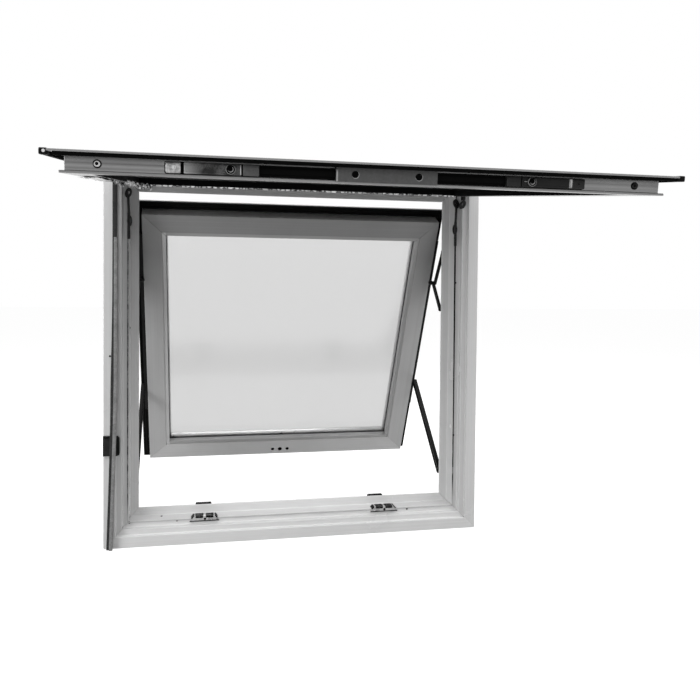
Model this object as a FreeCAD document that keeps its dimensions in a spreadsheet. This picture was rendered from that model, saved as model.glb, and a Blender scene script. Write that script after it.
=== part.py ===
import FreeCAD, Part
import math
import os

import Sketcher

# Top hung awning window, shown open: a stepped outer frame, a glass sash swung out on friction stays
# and an insect screen sash swung up into the room. Millimetres, +Z up, +Y from the room to the outside.
# Depths count from the frame's room face while a piece is built. A finished piece is then moved so that
# the origin is the middle of the sill's underside.

SIZES = (
    ("frame_width", 900.0),
    ("frame_height", 900.0),
    ("frame_depth", 105.0),
    ("rim_width", 26.5),
    ("rim_depth", 8.0),
    ("step_width", 14.0),
    ("step_depth", 14.0),
    ("shelf_width", 13.5),
    ("rebate_depth", 40.0),
    ("fin_length", 20.0),
    ("fin_thickness", 5.0),
    ("frame_seal_width", 2.5),
    ("frame_seal_height", 1.5),
    ("frame_seal_inset", 0.5),
    ("seal_end_gap", 0.3),
    ("fixing_diameter", 8.0),
    ("fixing_inset", 90.0),
    ("fixing_setback", 21.0),
    ("keep_offset", 220.0),
    ("keep_base_width", 68.0),
    ("keep_top_width", 47.0),
    ("keep_height", 9.0),
    ("keep_drop", 3.5),
    ("keep_overhang", 3.5),
    ("keep_lip", 1.5),
    ("keep_depth", 21.0),
    ("keep_hole", 7.0),
    ("keep_hole_setback", 12.0),
    ("outer_keep_offset", 216.0),
    ("outer_keep_shift", 7.8),
    ("outer_keep_width", 40.0),
    ("outer_keep_depth", 14.0),
    ("outer_keep_height", 20.8),
    ("outer_keep_gap", 4.0),
    ("clip_width", 36.5),
    ("clip_height", 46.0),
    ("clip_thickness", 6.0),
    ("clip_level", 215.0),
    ("rod_width", 13.0),
    ("rod_depth", 8.0),
    ("rod_top_gap", 0.6),
    ("rod_foot_inset", 15.5),
    ("rod_lean", 1.0),
    ("rod_foot_gap", 0.3),
    ("screen_gap", 2.5),
    ("screen_top_gap", 1.0),
    ("screen_angle", 83.1),
    ("screen_hinge_gap", 12.5),
    ("flange_thickness", 2.8),
    ("screen_rail_width", 52.0),
    ("screen_rail_depth", 27.0),
    ("screen_web_inset", 23.5),
    ("screen_lip_inset", 18.0),
    ("screen_lip_thickness", 3.3),
    ("mesh_thickness", 1.0),
    ("mesh_depth", 10.0),
    ("mesh_bar_width", 6.0),
    ("screen_seal_inset", 0.8),
    ("screen_seal_width", 6.0),
    ("screen_seal_height", 4.5),
    ("corner_cap_length", 14.0),
    ("lock_offset", 187.0),
    ("lock_case_length", 70.5),
    ("lock_inner_block_length", 20.0),
    ("lock_inner_gap", 1.5),
    ("lock_end_block_length", 18.5),
    ("lock_end_gap", 3.5),
    ("lock_case_height", 7.0),
    ("lock_block_height", 8.0),
    ("lock_gap", 1.3),
    ("cam_offset", 14.0),
    ("cam_diameter", 11.0),
    ("cam_height", 4.0),
    ("gear_plate_length", 135.0),
    ("gear_hole_spacing", 85.0),
    ("gear_hole_diameter", 9.0),
    ("gear_cover_gap", 0.3),
    ("gear_cover_thickness", 2.6),
    ("gear_cover_margin", 2.4),
    ("lock_rod_height", 3.0),
    ("lock_rod_width", 7.0),
    ("hinge_leaf_width", 6.0),
    ("hinge_leaf_height", 134.0),
    ("hinge_leaf_reach", 4.0),
    ("hinge_leaf_bearing", 10.0),
    ("hinge_leaf_drop", 0.5),
    ("hinge_tongue_gap", 0.3),
    ("hinge_tongue_rise", 10.0),
    ("hinge_arm_length", 65.0),
    ("hinge_arm_width", 6.0),
    ("hinge_knuckle_diameter", 7.0),
    ("hinge_knuckle_bite", 1.8),
    ("hinge_arm_gap", 0.5),
    ("sash_gap", 4.5),
    ("sash_angle", 27.0),
    ("sash_fin_gap", 5.4),
    ("sash_drop", 52.0),
    ("sash_rail_width", 46.0),
    ("sash_rail_depth", 46.0),
    ("sash_flange_reach", 20.0),
    ("sash_flange_thickness", 6.0),
    ("glazing_lip_reach", 10.0),
    ("glazing_lip_thickness", 4.0),
    ("glass_thickness", 22.0),
    ("glass_edge_gap", 2.0),
    ("bead_width", 9.0),
    ("bead_setback", 2.0),
    ("sash_seal_inset", 0.5),
    ("sash_seal_width", 18.5),
    ("sash_seal_height", 5.0),
    ("handle_spacing", 21.5),
    ("handle_screw_hole", 10.0),
    ("handle_spindle_hole", 12.0),
    ("handle_hole_rise", 16.5),
    ("handle_hole_depth", 30.0),
    ("track_width", 18.0),
    ("track_thickness", 2.5),
    ("track_overrun", 26.0),
    ("track_depth", 21.0),
    ("sash_bar_lead", 119.0),
    ("sash_bar_tail", 70.0),
    ("sash_bar_width", 18.0),
    ("sash_bar_edge", 3.0),
    ("sash_bar_thickness", 8.0),
    ("link_thickness", 5.5),
    ("long_arm_thickness", 10.0),
    ("long_arm_width", 14.0),
    ("long_arm_groove", 7.0),
    ("long_arm_wall", 2.5),
    ("link_width", 10.0),
    ("pin_diameter", 9.0),
    ("long_arm_sash_run", 503.0),
    ("long_arm_jamb_level", 126.0),
    ("tab_run", 172.5),
    ("tab_reach", 3.0),
    ("short_arm_drop", 350.5),
    ("upper_link_drop", 200.0),
)

# Openings along each side of the grid that stands for the fly mesh.
MESH_OPENINGS = 12


class Size:
    """A length or angle that knows its number and the sheet expression it comes from."""

    def __init__(self, value, text):
        self.value = float(value)
        self.text = text

    def join(self, other, sign, value):
        return Size(value, "(%s %s %s)" % (self.text, sign, other.text))

    def __add__(self, other):
        other = as_size(other)
        return self.join(other, "+", self.value + other.value)

    def __radd__(self, other):
        return as_size(other) + self

    def __sub__(self, other):
        other = as_size(other)
        return self.join(other, "-", self.value - other.value)

    def __rsub__(self, other):
        return as_size(other) - self

    def __mul__(self, other):
        other = as_size(other)
        return self.join(other, "*", self.value * other.value)

    def __rmul__(self, other):
        return as_size(other) * self

    def __truediv__(self, other):
        other = as_size(other)
        return self.join(other, "/", self.value / other.value)

    def __neg__(self):
        return as_size(0) - self


def as_size(number):
    """A plain number becomes a Size without a cell."""
    if isinstance(number, Size):
        return number
    return Size(number, repr(float(number)))


def sine(angle):
    return Size(math.sin(math.radians(angle.value)), "sin(%s * 1 deg)" % angle.text)


def cosine(angle):
    return Size(math.cos(math.radians(angle.value)), "cos(%s * 1 deg)" % angle.text)


def span(start, end):
    """The distance between two points of the Y-Z plane, each a pair of sizes."""
    value = math.hypot(end[0].value - start[0].value, end[1].value - start[1].value)
    across = "(%s - %s)" % (end[0].text, start[0].text)
    upward = "(%s - %s)" % (end[1].text, start[1].text)
    return Size(value, "sqrt(%s * %s + %s * %s)" % (across, across, upward, upward))


doc = FreeCAD.newDocument("awning_window")
sheet = doc.addObject("Spreadsheet::Sheet", "Sizes")
for row, (alias, number) in enumerate(SIZES, start=1):
    sheet.set("A%d" % row, alias)
    sheet.set("B%d" % row, str(number))
    sheet.setAlias("B%d" % row, alias)
doc.recompute()


class Values:
    """The sheet's named values as sizes."""


size = Values()
for alias, number in SIZES:
    setattr(size, alias, Size(number, "Sizes.%s" % alias))

nodes = []


def bind(thing, name, amount):
    """Binds one property of an object to the sheet."""
    thing.setExpression(name, as_size(amount).text)


def vector(x, y, z):
    return FreeCAD.Vector(as_size(x).value, as_size(y).value, as_size(z).value)


def at(x, y, z, axis=(0, 0, 1), turn=0.0):
    """A placement from sizes, with a turn in degrees about one axis."""
    return FreeCAD.Placement(vector(x, y, z), FreeCAD.Rotation(FreeCAD.Vector(*axis), as_size(turn).value))


home = at(0, 0 - size.frame_depth / 2, 0)


def node(thing, label, pose=None):
    """Names a finished sub-part, sets it in its pose and lists it for writing."""
    thing.Label = label
    if pose is not None:
        thing.Placement = pose.multiply(thing.Placement)
    thing.Placement = home.multiply(thing.Placement)
    nodes.append(thing)
    return thing


def origin_plane(body, role):
    for feature in body.Origin.OriginFeatures:
        if feature.Role == role:
            return feature
    raise RuntimeError("no plane " + role)


def new_sketch(body, name, role):
    sketch = body.newObject("Sketcher::SketchObject", name)
    sketch.AttachmentSupport = [(origin_plane(body, role), "")]
    sketch.MapMode = "FlatFace"
    return sketch


def draw_outline(sketch, corners):
    """Draws one closed outline whose corners are tied to the sheet."""
    first = sketch.GeometryCount
    count = len(corners)
    corners = [(as_size(a), as_size(b)) for a, b in corners]
    for index, (a, b) in enumerate(corners):
        c, d = corners[(index + 1) % count]
        start = FreeCAD.Vector(a.value, b.value, 0)
        end = FreeCAD.Vector(c.value, d.value, 0)
        sketch.addGeometry(Part.LineSegment(start, end))
    for index in range(count):
        after = first + (index + 1) % count
        sketch.addConstraint(Sketcher.Constraint("Coincident", first + index, 2, after, 1))
    for index, (a, b) in enumerate(corners):
        across = sketch.addConstraint(Sketcher.Constraint("DistanceX", first + index, 1, a.value))
        upward = sketch.addConstraint(Sketcher.Constraint("DistanceY", first + index, 1, b.value))
        sketch.setExpression("Constraints[%d]" % across, a.text)
        sketch.setExpression("Constraints[%d]" % upward, b.text)


def draw_circle(sketch, a, b, diameter):
    """Draws one circle with its centre and diameter tied to the sheet."""
    a, b, diameter = as_size(a), as_size(b), as_size(diameter)
    centre = FreeCAD.Vector(a.value, b.value, 0)
    ring = sketch.addGeometry(Part.Circle(centre, FreeCAD.Vector(0, 0, 1), diameter.value / 2))
    across = sketch.addConstraint(Sketcher.Constraint("DistanceX", ring, 3, a.value))
    upward = sketch.addConstraint(Sketcher.Constraint("DistanceY", ring, 3, b.value))
    width = sketch.addConstraint(Sketcher.Constraint("Diameter", ring, diameter.value))
    sketch.setExpression("Constraints[%d]" % across, a.text)
    sketch.setExpression("Constraints[%d]" % upward, b.text)
    sketch.setExpression("Constraints[%d]" % width, diameter.text)


def pocket(body, sketch, depth=None):
    """Cuts a sketch out of its body, through all or to a depth, and checks that it cut something."""
    doc.recompute()
    before = body.Shape.Volume
    cut = body.newObject("PartDesign::Pocket", sketch.Name + "_cut")
    cut.Profile = sketch
    if depth is None:
        cut.Type = "ThroughAll"
        cut.SideType = "Symmetric"
    else:
        cut.Type = "Length"
        bind(cut, "Length", depth)
    doc.recompute()
    if cut.Shape.Volume > before - 1e-3:
        cut.Reversed = True
        doc.recompute()
    if cut.Shape.Volume > before - 1e-3:
        raise RuntimeError("nothing cut in " + body.Name)
    sketch.Visibility = False
    return cut


def mitred_member(name, profile, length, outer, inner, gap=0.0):
    """Extrudes a rail section along X and cuts both ends at the mitre.

    The section's corners are (depth, inward) pairs, outer is how far the section reaches outward of the
    panel's edge, inner how far it reaches inward, and length is the panel's side at that edge.
    """
    body = doc.addObject("PartDesign::Body", name)
    section = new_sketch(body, name + "_section", "YZ_Plane")
    draw_outline(section, profile)
    pad = body.newObject("PartDesign::Pad", name + "_pad")
    pad.Profile = section
    bind(pad, "Length", length + 2 * outer)
    pad.SideType = "Symmetric"
    section.Visibility = False
    mitre = new_sketch(body, name + "_mitre", "XZ_Plane")
    margin = 1.0
    tip = length / 2 + outer - gap + margin
    root = length / 2 - inner - gap - margin
    low = 0 - outer - margin
    high = inner + margin
    beyond = length / 2 + outer + 2 * margin
    draw_outline(mitre, [(tip, low), (beyond, low), (beyond, high), (root, high)])
    draw_outline(mitre, [(0 - tip, low), (0 - root, high), (0 - beyond, high), (0 - beyond, low)])
    pocket(body, mitre)
    return body


def ring(name, profile, width, height, bottom, outer, inner, gap=0.0):
    """Four mitred members around a panel: bottom, top, left and right."""
    middle = bottom + height / 2
    placements = {
        "bottom": at(0, 0, bottom),
        "top": at(0, 0, bottom + height, (0, 1, 0), 180.0),
        "left": at(0 - width / 2, 0, middle, (0, 1, 0), 90.0),
        "right": at(width / 2, 0, middle, (0, 1, 0), -90.0),
    }
    members = {}
    for side, placement in placements.items():
        length = width if side in ("bottom", "top") else height
        member = mitred_member(name + "_" + side, profile, length, outer, inner, gap)
        member.Placement = placement
        members[side] = member
    return members


def block(name, x, y, z):
    """A box from three (low, high) pairs of sizes."""
    box = doc.addObject("Part::Box", name)
    bind(box, "Length", as_size(x[1]) - x[0])
    bind(box, "Width", as_size(y[1]) - y[0])
    bind(box, "Height", as_size(z[1]) - z[0])
    box.Placement = at(x[0], y[0], z[0])
    return box


def round_bar(name, diameter, length, placement):
    bar = doc.addObject("Part::Cylinder", name)
    bind(bar, "Radius", as_size(diameter) / 2)
    bind(bar, "Height", length)
    bar.Placement = placement
    return bar


def fuse(name, shapes):
    joined = doc.addObject("Part::MultiFuse", name)
    joined.Shapes = shapes
    joined.Refine = True
    return joined


def cut(name, base, tool):
    rest = doc.addObject("Part::Cut", name)
    rest.Base = base
    rest.Tool = tool
    return rest


def gather(name, shapes):
    group = doc.addObject("Part::Compound", name)
    group.Links = shapes
    return group


def flat_arm(name, start, end, width, thickness, near):
    """A flat stay arm with round ends between two pivots of the Y-Z plane, its near face at x = near."""
    turn = math.degrees(math.atan2(end[1].value - start[1].value, end[0].value - start[0].value))
    reach = span(start, end)
    strip = doc.addObject("Part::Box", name + "_strip")
    bind(strip, "Length", thickness)
    bind(strip, "Width", reach)
    bind(strip, "Height", width)
    strip.Placement = at(0, 0, 0 - width / 2)
    shapes = [strip]
    for index, along in enumerate((as_size(0), reach)):
        placement = at(0, along, 0, (0, 1, 0), 90.0)
        shapes.append(round_bar("%s_end_%d" % (name, index), width, thickness, placement))
    arm = fuse(name, shapes)
    pose = at(near, start[0], start[1], (1, 0, 0), turn)
    arm.Placement = pose
    return arm, reach, pose


# Levels of the frame section: inward from the outer edge, and back from the room face.
step_inset = size.rim_width
shelf_inset = step_inset + size.step_width
rebate_inset = shelf_inset + size.shelf_width
opening_inset = rebate_inset + size.fin_length
shelf_depth = size.rim_depth + size.step_depth
fin_front = shelf_depth + size.rebate_depth
fin_back = fin_front + size.fin_thickness

frame_section = [
    (0, 0),
    (0, step_inset),
    (size.rim_depth, step_inset),
    (size.rim_depth, shelf_inset),
    (shelf_depth, shelf_inset),
    (shelf_depth, rebate_inset),
    (fin_front, rebate_inset),
    (fin_front, opening_inset),
    (fin_back, opening_inset),
    (fin_back, rebate_inset),
    (size.frame_depth, rebate_inset),
    (size.frame_depth, 0),
]


def build_frame():
    """The four mitred frame members, the jambs drilled for their fixings."""
    members = ring("frame", frame_section, size.frame_width, size.frame_height, as_size(0),
                   as_size(0), opening_inset)
    for side in ("left", "right"):
        body = members[side]
        holes = new_sketch(body, "fixing_%s" % side, "XY_Plane")
        for way in (-1, 1):
            along = way * (size.frame_height / 2 - size.fixing_inset)
            draw_circle(holes, along, fin_back + size.fixing_setback, size.fixing_diameter)
        pocket(body, holes)
    node(members["top"], "frame_head")
    node(members["bottom"], "frame_sill")
    node(members["left"], "frame_left_jamb")
    node(members["right"], "frame_right_jamb")


def build_frame_seal():
    """The thin dark seal along the inner edge of the shelf, in four strips."""
    far = rebate_inset - size.frame_seal_inset
    near = far - size.frame_seal_width
    front = shelf_depth - size.frame_seal_height
    section = [(front, near), (front, far), (shelf_depth, far), (shelf_depth, near)]
    strips = ring("frame_seal", section, size.frame_width, size.frame_height, as_size(0),
                  as_size(0), far, size.seal_end_gap)
    node(gather("frame_seals", list(strips.values())), "frame_seal")


def build_keeps():
    """Two tapered keeps that hook over the edge of the sill's shelf, and two upright keeps behind the fin."""
    half_base = size.keep_base_width / 2
    half_top = size.keep_top_width / 2
    front = shelf_depth - size.keep_overhang
    for side, way in (("left", -1), ("right", 1)):
        body = doc.addObject("PartDesign::Body", "keep_" + side)
        outline = new_sketch(body, "keep_outline_" + side, "XZ_Plane")
        draw_outline(outline, [(0 - half_base, 0 - size.keep_drop), (half_base, 0 - size.keep_drop),
                               (half_top, size.keep_height), (0 - half_top, size.keep_height)])
        pad = body.newObject("PartDesign::Pad", "keep_pad_" + side)
        pad.Profile = outline
        pad.Reversed = True
        bind(pad, "Length", size.keep_depth)
        outline.Visibility = False
        seat = block("keep_seat_" + side, (0 - half_base, half_base), (size.keep_lip, size.keep_depth + 1),
                     (0 - 2 * size.keep_drop, as_size(0)))
        hole = round_bar("keep_drill_" + side, size.keep_hole, 4 * size.keep_height,
                         at(0, size.keep_hole_setback, 0 - 2 * size.keep_height))
        keep = cut("keep_casting_" + side, body, fuse("keep_tools_" + side, [seat, hole]))
        node(keep, "sill_keep_" + side, at(way * size.keep_offset, front, rebate_inset))
    blocks = []
    front = fin_back + size.outer_keep_gap
    for side, way in (("left", -1), ("right", 1)):
        middle = way * size.outer_keep_offset - size.outer_keep_shift
        half = size.outer_keep_width / 2
        blocks.append(block("outer_keep_" + side, (middle - half, middle + half),
                            (front, front + size.outer_keep_depth),
                            (rebate_inset, rebate_inset + size.outer_keep_height)))
    node(gather("outer_keep_pair", blocks), "outer_keeps")


def build_side_rod():
    """The slim bar that leans along the left jamb, and the dark clip behind it."""
    edge = 0 - size.frame_width / 2
    clip = block("clip", (edge, edge + size.clip_width), (0 - size.clip_thickness, as_size(0)),
                 (size.clip_level, size.clip_level + size.clip_height))
    node(clip, "rod_clip")
    half = size.rod_width / 2
    front = size.clip_thickness + size.rod_depth
    under_screen = size.flange_thickness + size.screen_seal_height
    fall = ((screen_hinge_depth + front) * cosine(size.screen_angle) + under_screen) / sine(size.screen_angle)
    length = screen_hinge_level - fall - size.rod_top_gap - size.rod_foot_gap
    rod = block("rod", (0 - half, half), (0 - size.rod_depth, as_size(0)), (as_size(0), length))
    node(rod, "side_rod", at(edge + size.rod_foot_inset, 0 - size.clip_thickness, size.rod_foot_gap,
                             (0, 1, 0), size.rod_lean))


# The screen fits inside the rim with a gap all round, and turns about a line just under the rim of the head.
screen_width = size.frame_width - 2 * (step_inset + size.screen_gap)
screen_hinge_depth = size.rim_depth
screen_hinge_level = size.frame_height - step_inset - size.screen_hinge_gap
screen_reach = screen_hinge_level - step_inset - size.screen_gap
screen_pose = at(0, screen_hinge_depth, screen_hinge_level, (1, 0, 0), 0 - size.screen_angle)
screen_bottom = 0 - screen_reach
screen_height = screen_reach - size.screen_top_gap
screen_web = screen_bottom + size.screen_web_inset
screen_lip_front = size.screen_rail_depth - size.screen_lip_thickness
lock_low = size.flange_thickness + size.screen_seal_height + size.lock_gap
lock_high = screen_lip_front - size.lock_gap
lock_middle = (lock_low + lock_high) / 2


def build_screen():
    """The screen sash: four rails with a hardware groove, the mesh, seals and corner caps."""
    section = [
        (0, 0),
        (size.flange_thickness, 0),
        (size.flange_thickness, size.screen_web_inset),
        (screen_lip_front, size.screen_web_inset),
        (screen_lip_front, size.screen_lip_inset),
        (size.screen_rail_depth, size.screen_lip_inset),
        (size.screen_rail_depth, size.screen_rail_width),
        (0, size.screen_rail_width),
    ]
    rails = ring("screen", section, screen_width, screen_height, screen_bottom,
                 as_size(0), size.screen_rail_width)
    node(rails["bottom"], "screen_bottom_rail", screen_pose)
    node(rails["top"], "screen_top_rail", screen_pose)
    node(rails["left"], "screen_left_stile", screen_pose)
    node(rails["right"], "screen_right_stile", screen_pose)
    half = screen_width / 2
    inner = half - size.screen_rail_width
    top = 0 - size.screen_top_gap
    through = (size.mesh_depth, size.mesh_depth + size.mesh_thickness)
    low = screen_bottom + size.screen_rail_width
    high = top - size.screen_rail_width
    bar = size.mesh_bar_width
    bars = []
    for index in range(MESH_OPENINGS + 1):
        share = index / MESH_OPENINGS
        x = (2 * inner - bar) * share - inner
        z = low + (high - low - bar) * share
        bars.append(block("mesh_upright_%d" % index, (x, x + bar), through, (low, high)))
        bars.append(block("mesh_cross_%d" % index, (0 - inner, inner), through, (z, z + bar)))
    node(fuse("mesh", bars), "screen_mesh", screen_pose)
    under = (size.flange_thickness, size.flange_thickness + size.screen_seal_height)
    cap = size.corner_cap_length
    near = size.screen_seal_inset
    far = near + size.screen_seal_width
    strips = [
        block("seal_bottom", (cap - half, half - cap), under, (screen_bottom + near, screen_bottom + far)),
        block("seal_top", (cap - half, half - cap), under, (top - far, top - near)),
        block("seal_left", (near - half, far - half), under, (screen_bottom + cap, top - cap)),
        block("seal_right", (half - far, half - near), under, (screen_bottom + cap, top - cap)),
    ]
    node(gather("screen_seals", strips), "screen_seal", screen_pose)
    caps = []
    for index, (x, z) in enumerate(((0 - half, screen_bottom), (half - cap, screen_bottom),
                                    (0 - half, top - cap), (half - cap, top - cap))):
        caps.append(block("corner_cap_%d" % index, (x, x + cap), under, (z, z + cap)))
    node(gather("corner_caps", caps), "screen_corner_caps", screen_pose)


def build_locks():
    """The lock gear in the groove of the screen's free rail: gear plate, rods, cases, blocks and cams."""
    low = lock_low
    high = lock_high
    middle = lock_middle
    half_plate = size.gear_plate_length / 2
    box = block("gear_box", (0 - half_plate, half_plate), (low, high),
                (screen_web - size.lock_block_height, screen_web))
    cover_back = screen_bottom + size.screen_lip_inset - size.gear_cover_gap
    cover_front = cover_back - size.gear_cover_thickness
    cover = block("gear_cover", (0 - half_plate, half_plate),
                  (low - size.gear_cover_margin, high + size.gear_cover_margin), (cover_front, cover_back))
    plate = fuse("gear_plate", [box, cover])
    drills = []
    for index, way in enumerate((-1, 1)):
        drills.append(round_bar("gear_drill_%d" % index, size.gear_hole_diameter, screen_web - cover_front + 2,
                                at(way * size.gear_hole_spacing / 2, middle, cover_front - 1)))
    node(cut("gear_plate_drilled", plate, fuse("gear_drills", drills)), "lock_gear_plate", screen_pose)
    rods = []
    cams = []
    for side, way in (("left", -1), ("right", 1)):

        def sided(near, far):
            return (near, far) if way > 0 else (0 - far, 0 - near)

        case_start = size.lock_offset
        case_end = case_start + size.lock_case_length
        block_end = case_start - size.lock_inner_gap
        block_start = block_end - size.lock_inner_block_length
        end_start = case_end + size.lock_end_gap
        end = end_start + size.lock_end_block_length
        case = block("case_" + side, sided(case_start, case_end), (low, high),
                     (screen_web - size.lock_case_height, screen_web))
        node(case, "lock_case_" + side, screen_pose)
        blocks = [
            block("inner_block_" + side, sided(block_start, block_end), (low, high),
                  (screen_web - size.lock_block_height, screen_web)),
            block("end_block_" + side, sided(end_start, end), (low, high),
                  (screen_web - size.lock_block_height, screen_web)),
        ]
        node(gather("lock_blocks_pair_" + side, blocks), "lock_blocks_" + side, screen_pose)
        half_rod = size.lock_rod_width / 2
        rods.append(block("rod_" + side, sided(half_plate, block_start), (middle - half_rod, middle + half_rod),
                          (screen_web - size.lock_rod_height, screen_web)))
        cams.append(round_bar("cam_" + side, size.cam_diameter, size.cam_height,
                              at(way * (case_start + size.cam_offset), middle,
                                 screen_web - size.lock_case_height - size.cam_height)))
    node(gather("lock_rod_pair", rods), "lock_rods", screen_pose)
    node(gather("lock_cam_pair", cams), "lock_cams", screen_pose)


def build_screen_hinges():
    """A leaf in each jamb's rebate with a knuckle and an arm that lies in the groove of the screen's stile."""
    half = size.frame_width / 2
    for side, way in (("left", -1), ("right", 1)):
        outer = half - rebate_inset
        inner = outer - size.hinge_leaf_width
        web = screen_width / 2 - size.screen_web_inset
        top = size.frame_height - rebate_inset - size.hinge_leaf_drop

        def sided(near, far):
            return (near, far) if way > 0 else (0 - far, 0 - near)

        leaf_front = shelf_depth - size.hinge_leaf_reach
        leaf = block("hinge_leaf_" + side, sided(inner, outer),
                     (leaf_front, shelf_depth + size.hinge_leaf_bearing),
                     (top - size.hinge_leaf_height, top))
        tongue = block("hinge_tongue_" + side, sided(inner, outer),
                       (leaf_front, shelf_depth - size.frame_seal_height - size.hinge_tongue_gap),
                       (top - size.hinge_tongue_rise, top + size.hinge_tongue_rise))
        half_arm = size.hinge_knuckle_diameter / 2
        middle = size.flange_thickness + size.screen_seal_height + size.hinge_arm_gap + half_arm
        back = leaf_front + size.hinge_knuckle_bite - half_arm - screen_hinge_depth
        rise = (back - middle * cosine(size.screen_angle)) / sine(size.screen_angle)
        arm = block("hinge_arm_" + side, sided(web, web + size.hinge_arm_width),
                    (middle - half_arm, middle + half_arm), (rise - size.hinge_arm_length, rise))
        arm.Placement = screen_pose.multiply(arm.Placement)
        far = web + size.hinge_arm_width
        start = inner if way > 0 else 0 - far
        knuckle = round_bar("hinge_knuckle_" + side, size.hinge_knuckle_diameter, far - inner,
                            at(start, middle, rise, (0, 1, 0), 90.0))
        knuckle.Placement = screen_pose.multiply(knuckle.Placement)
        node(fuse("hinge_" + side, [leaf, tongue, arm, knuckle]), "screen_hinge_" + side)


# The glass sash fits the clear opening with a gap all round. Open, its top edge has dropped behind the fin.
sash_width = size.frame_width - 2 * (opening_inset + size.sash_gap)
sash_height = size.frame_height - 2 * (opening_inset + size.sash_gap)
sash_top_depth = fin_back + size.sash_fin_gap
sash_top = size.frame_height - opening_inset - size.sash_drop
sash_pose = at(0, sash_top_depth, sash_top, (1, 0, 0), size.sash_angle)
sash_bottom = 0 - sash_height


def build_sash():
    """The glass sash: four mitred rails, the pane, its beads and the black seal on the outer flange."""
    flange_front = size.sash_rail_depth - size.sash_flange_thickness
    lip_front = size.sash_rail_depth - size.glazing_lip_thickness
    lip_inset = size.sash_rail_width + size.glazing_lip_reach
    section = [
        (0, 0),
        (flange_front, 0),
        (flange_front, 0 - size.sash_flange_reach),
        (size.sash_rail_depth, 0 - size.sash_flange_reach),
        (size.sash_rail_depth, lip_inset),
        (lip_front, lip_inset),
        (lip_front, size.sash_rail_width),
        (0, size.sash_rail_width),
    ]
    rails = ring("sash", section, sash_width, sash_height, sash_bottom,
                 size.sash_flange_reach, lip_inset)
    holes = new_sketch(rails["bottom"], "handle_holes", "XZ_Plane")
    draw_circle(holes, 0 - size.handle_spacing, size.handle_hole_rise, size.handle_screw_hole)
    draw_circle(holes, 0, size.handle_hole_rise, size.handle_spindle_hole)
    draw_circle(holes, size.handle_spacing, size.handle_hole_rise, size.handle_screw_hole)
    pocket(rails["bottom"], holes, size.handle_hole_depth)
    node(rails["top"], "sash_top_rail", sash_pose)
    node(rails["bottom"], "sash_bottom_rail", sash_pose)
    node(rails["left"], "sash_left_stile", sash_pose)
    node(rails["right"], "sash_right_stile", sash_pose)
    edge = size.sash_rail_width + size.glass_edge_gap
    half = sash_width / 2 - edge
    glass_front = lip_front - size.glass_thickness
    pane = block("pane", (0 - half, half), (glass_front, lip_front), (sash_bottom + edge, 0 - edge))
    node(pane, "glass_pane", sash_pose)
    bead_inner = size.sash_rail_width + size.bead_width
    bead_section = [
        (size.bead_setback, size.sash_rail_width),
        (glass_front, size.sash_rail_width),
        (glass_front, bead_inner),
        (size.bead_setback, bead_inner),
    ]
    beads = ring("bead", bead_section, sash_width, sash_height, sash_bottom,
                 as_size(0), bead_inner, size.seal_end_gap)
    node(gather("bead_set", list(beads.values())), "glazing_beads", sash_pose)
    seal_far = size.sash_seal_inset - size.sash_flange_reach
    seal_near = seal_far + size.sash_seal_width
    seal_front = flange_front - size.sash_seal_height
    seal_section = [
        (seal_front, seal_far),
        (flange_front, seal_far),
        (flange_front, seal_near),
        (seal_front, seal_near),
    ]
    seals = ring("sash_seal", seal_section, sash_width, sash_height, sash_bottom,
                 size.sash_flange_reach, size.sash_flange_reach, size.seal_end_gap)
    node(gather("sash_seal_set", list(seals.values())), "sash_seal", sash_pose)


def on_sash(run, depth):
    """The Y-Z point of the open sash at a run down from its top edge and a depth from its room face."""
    turn_sine = sine(size.sash_angle)
    turn_cosine = cosine(size.sash_angle)
    y = sash_top_depth + run * turn_sine + depth * turn_cosine
    z = sash_top - run * turn_cosine + depth * turn_sine
    return y, z


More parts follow.
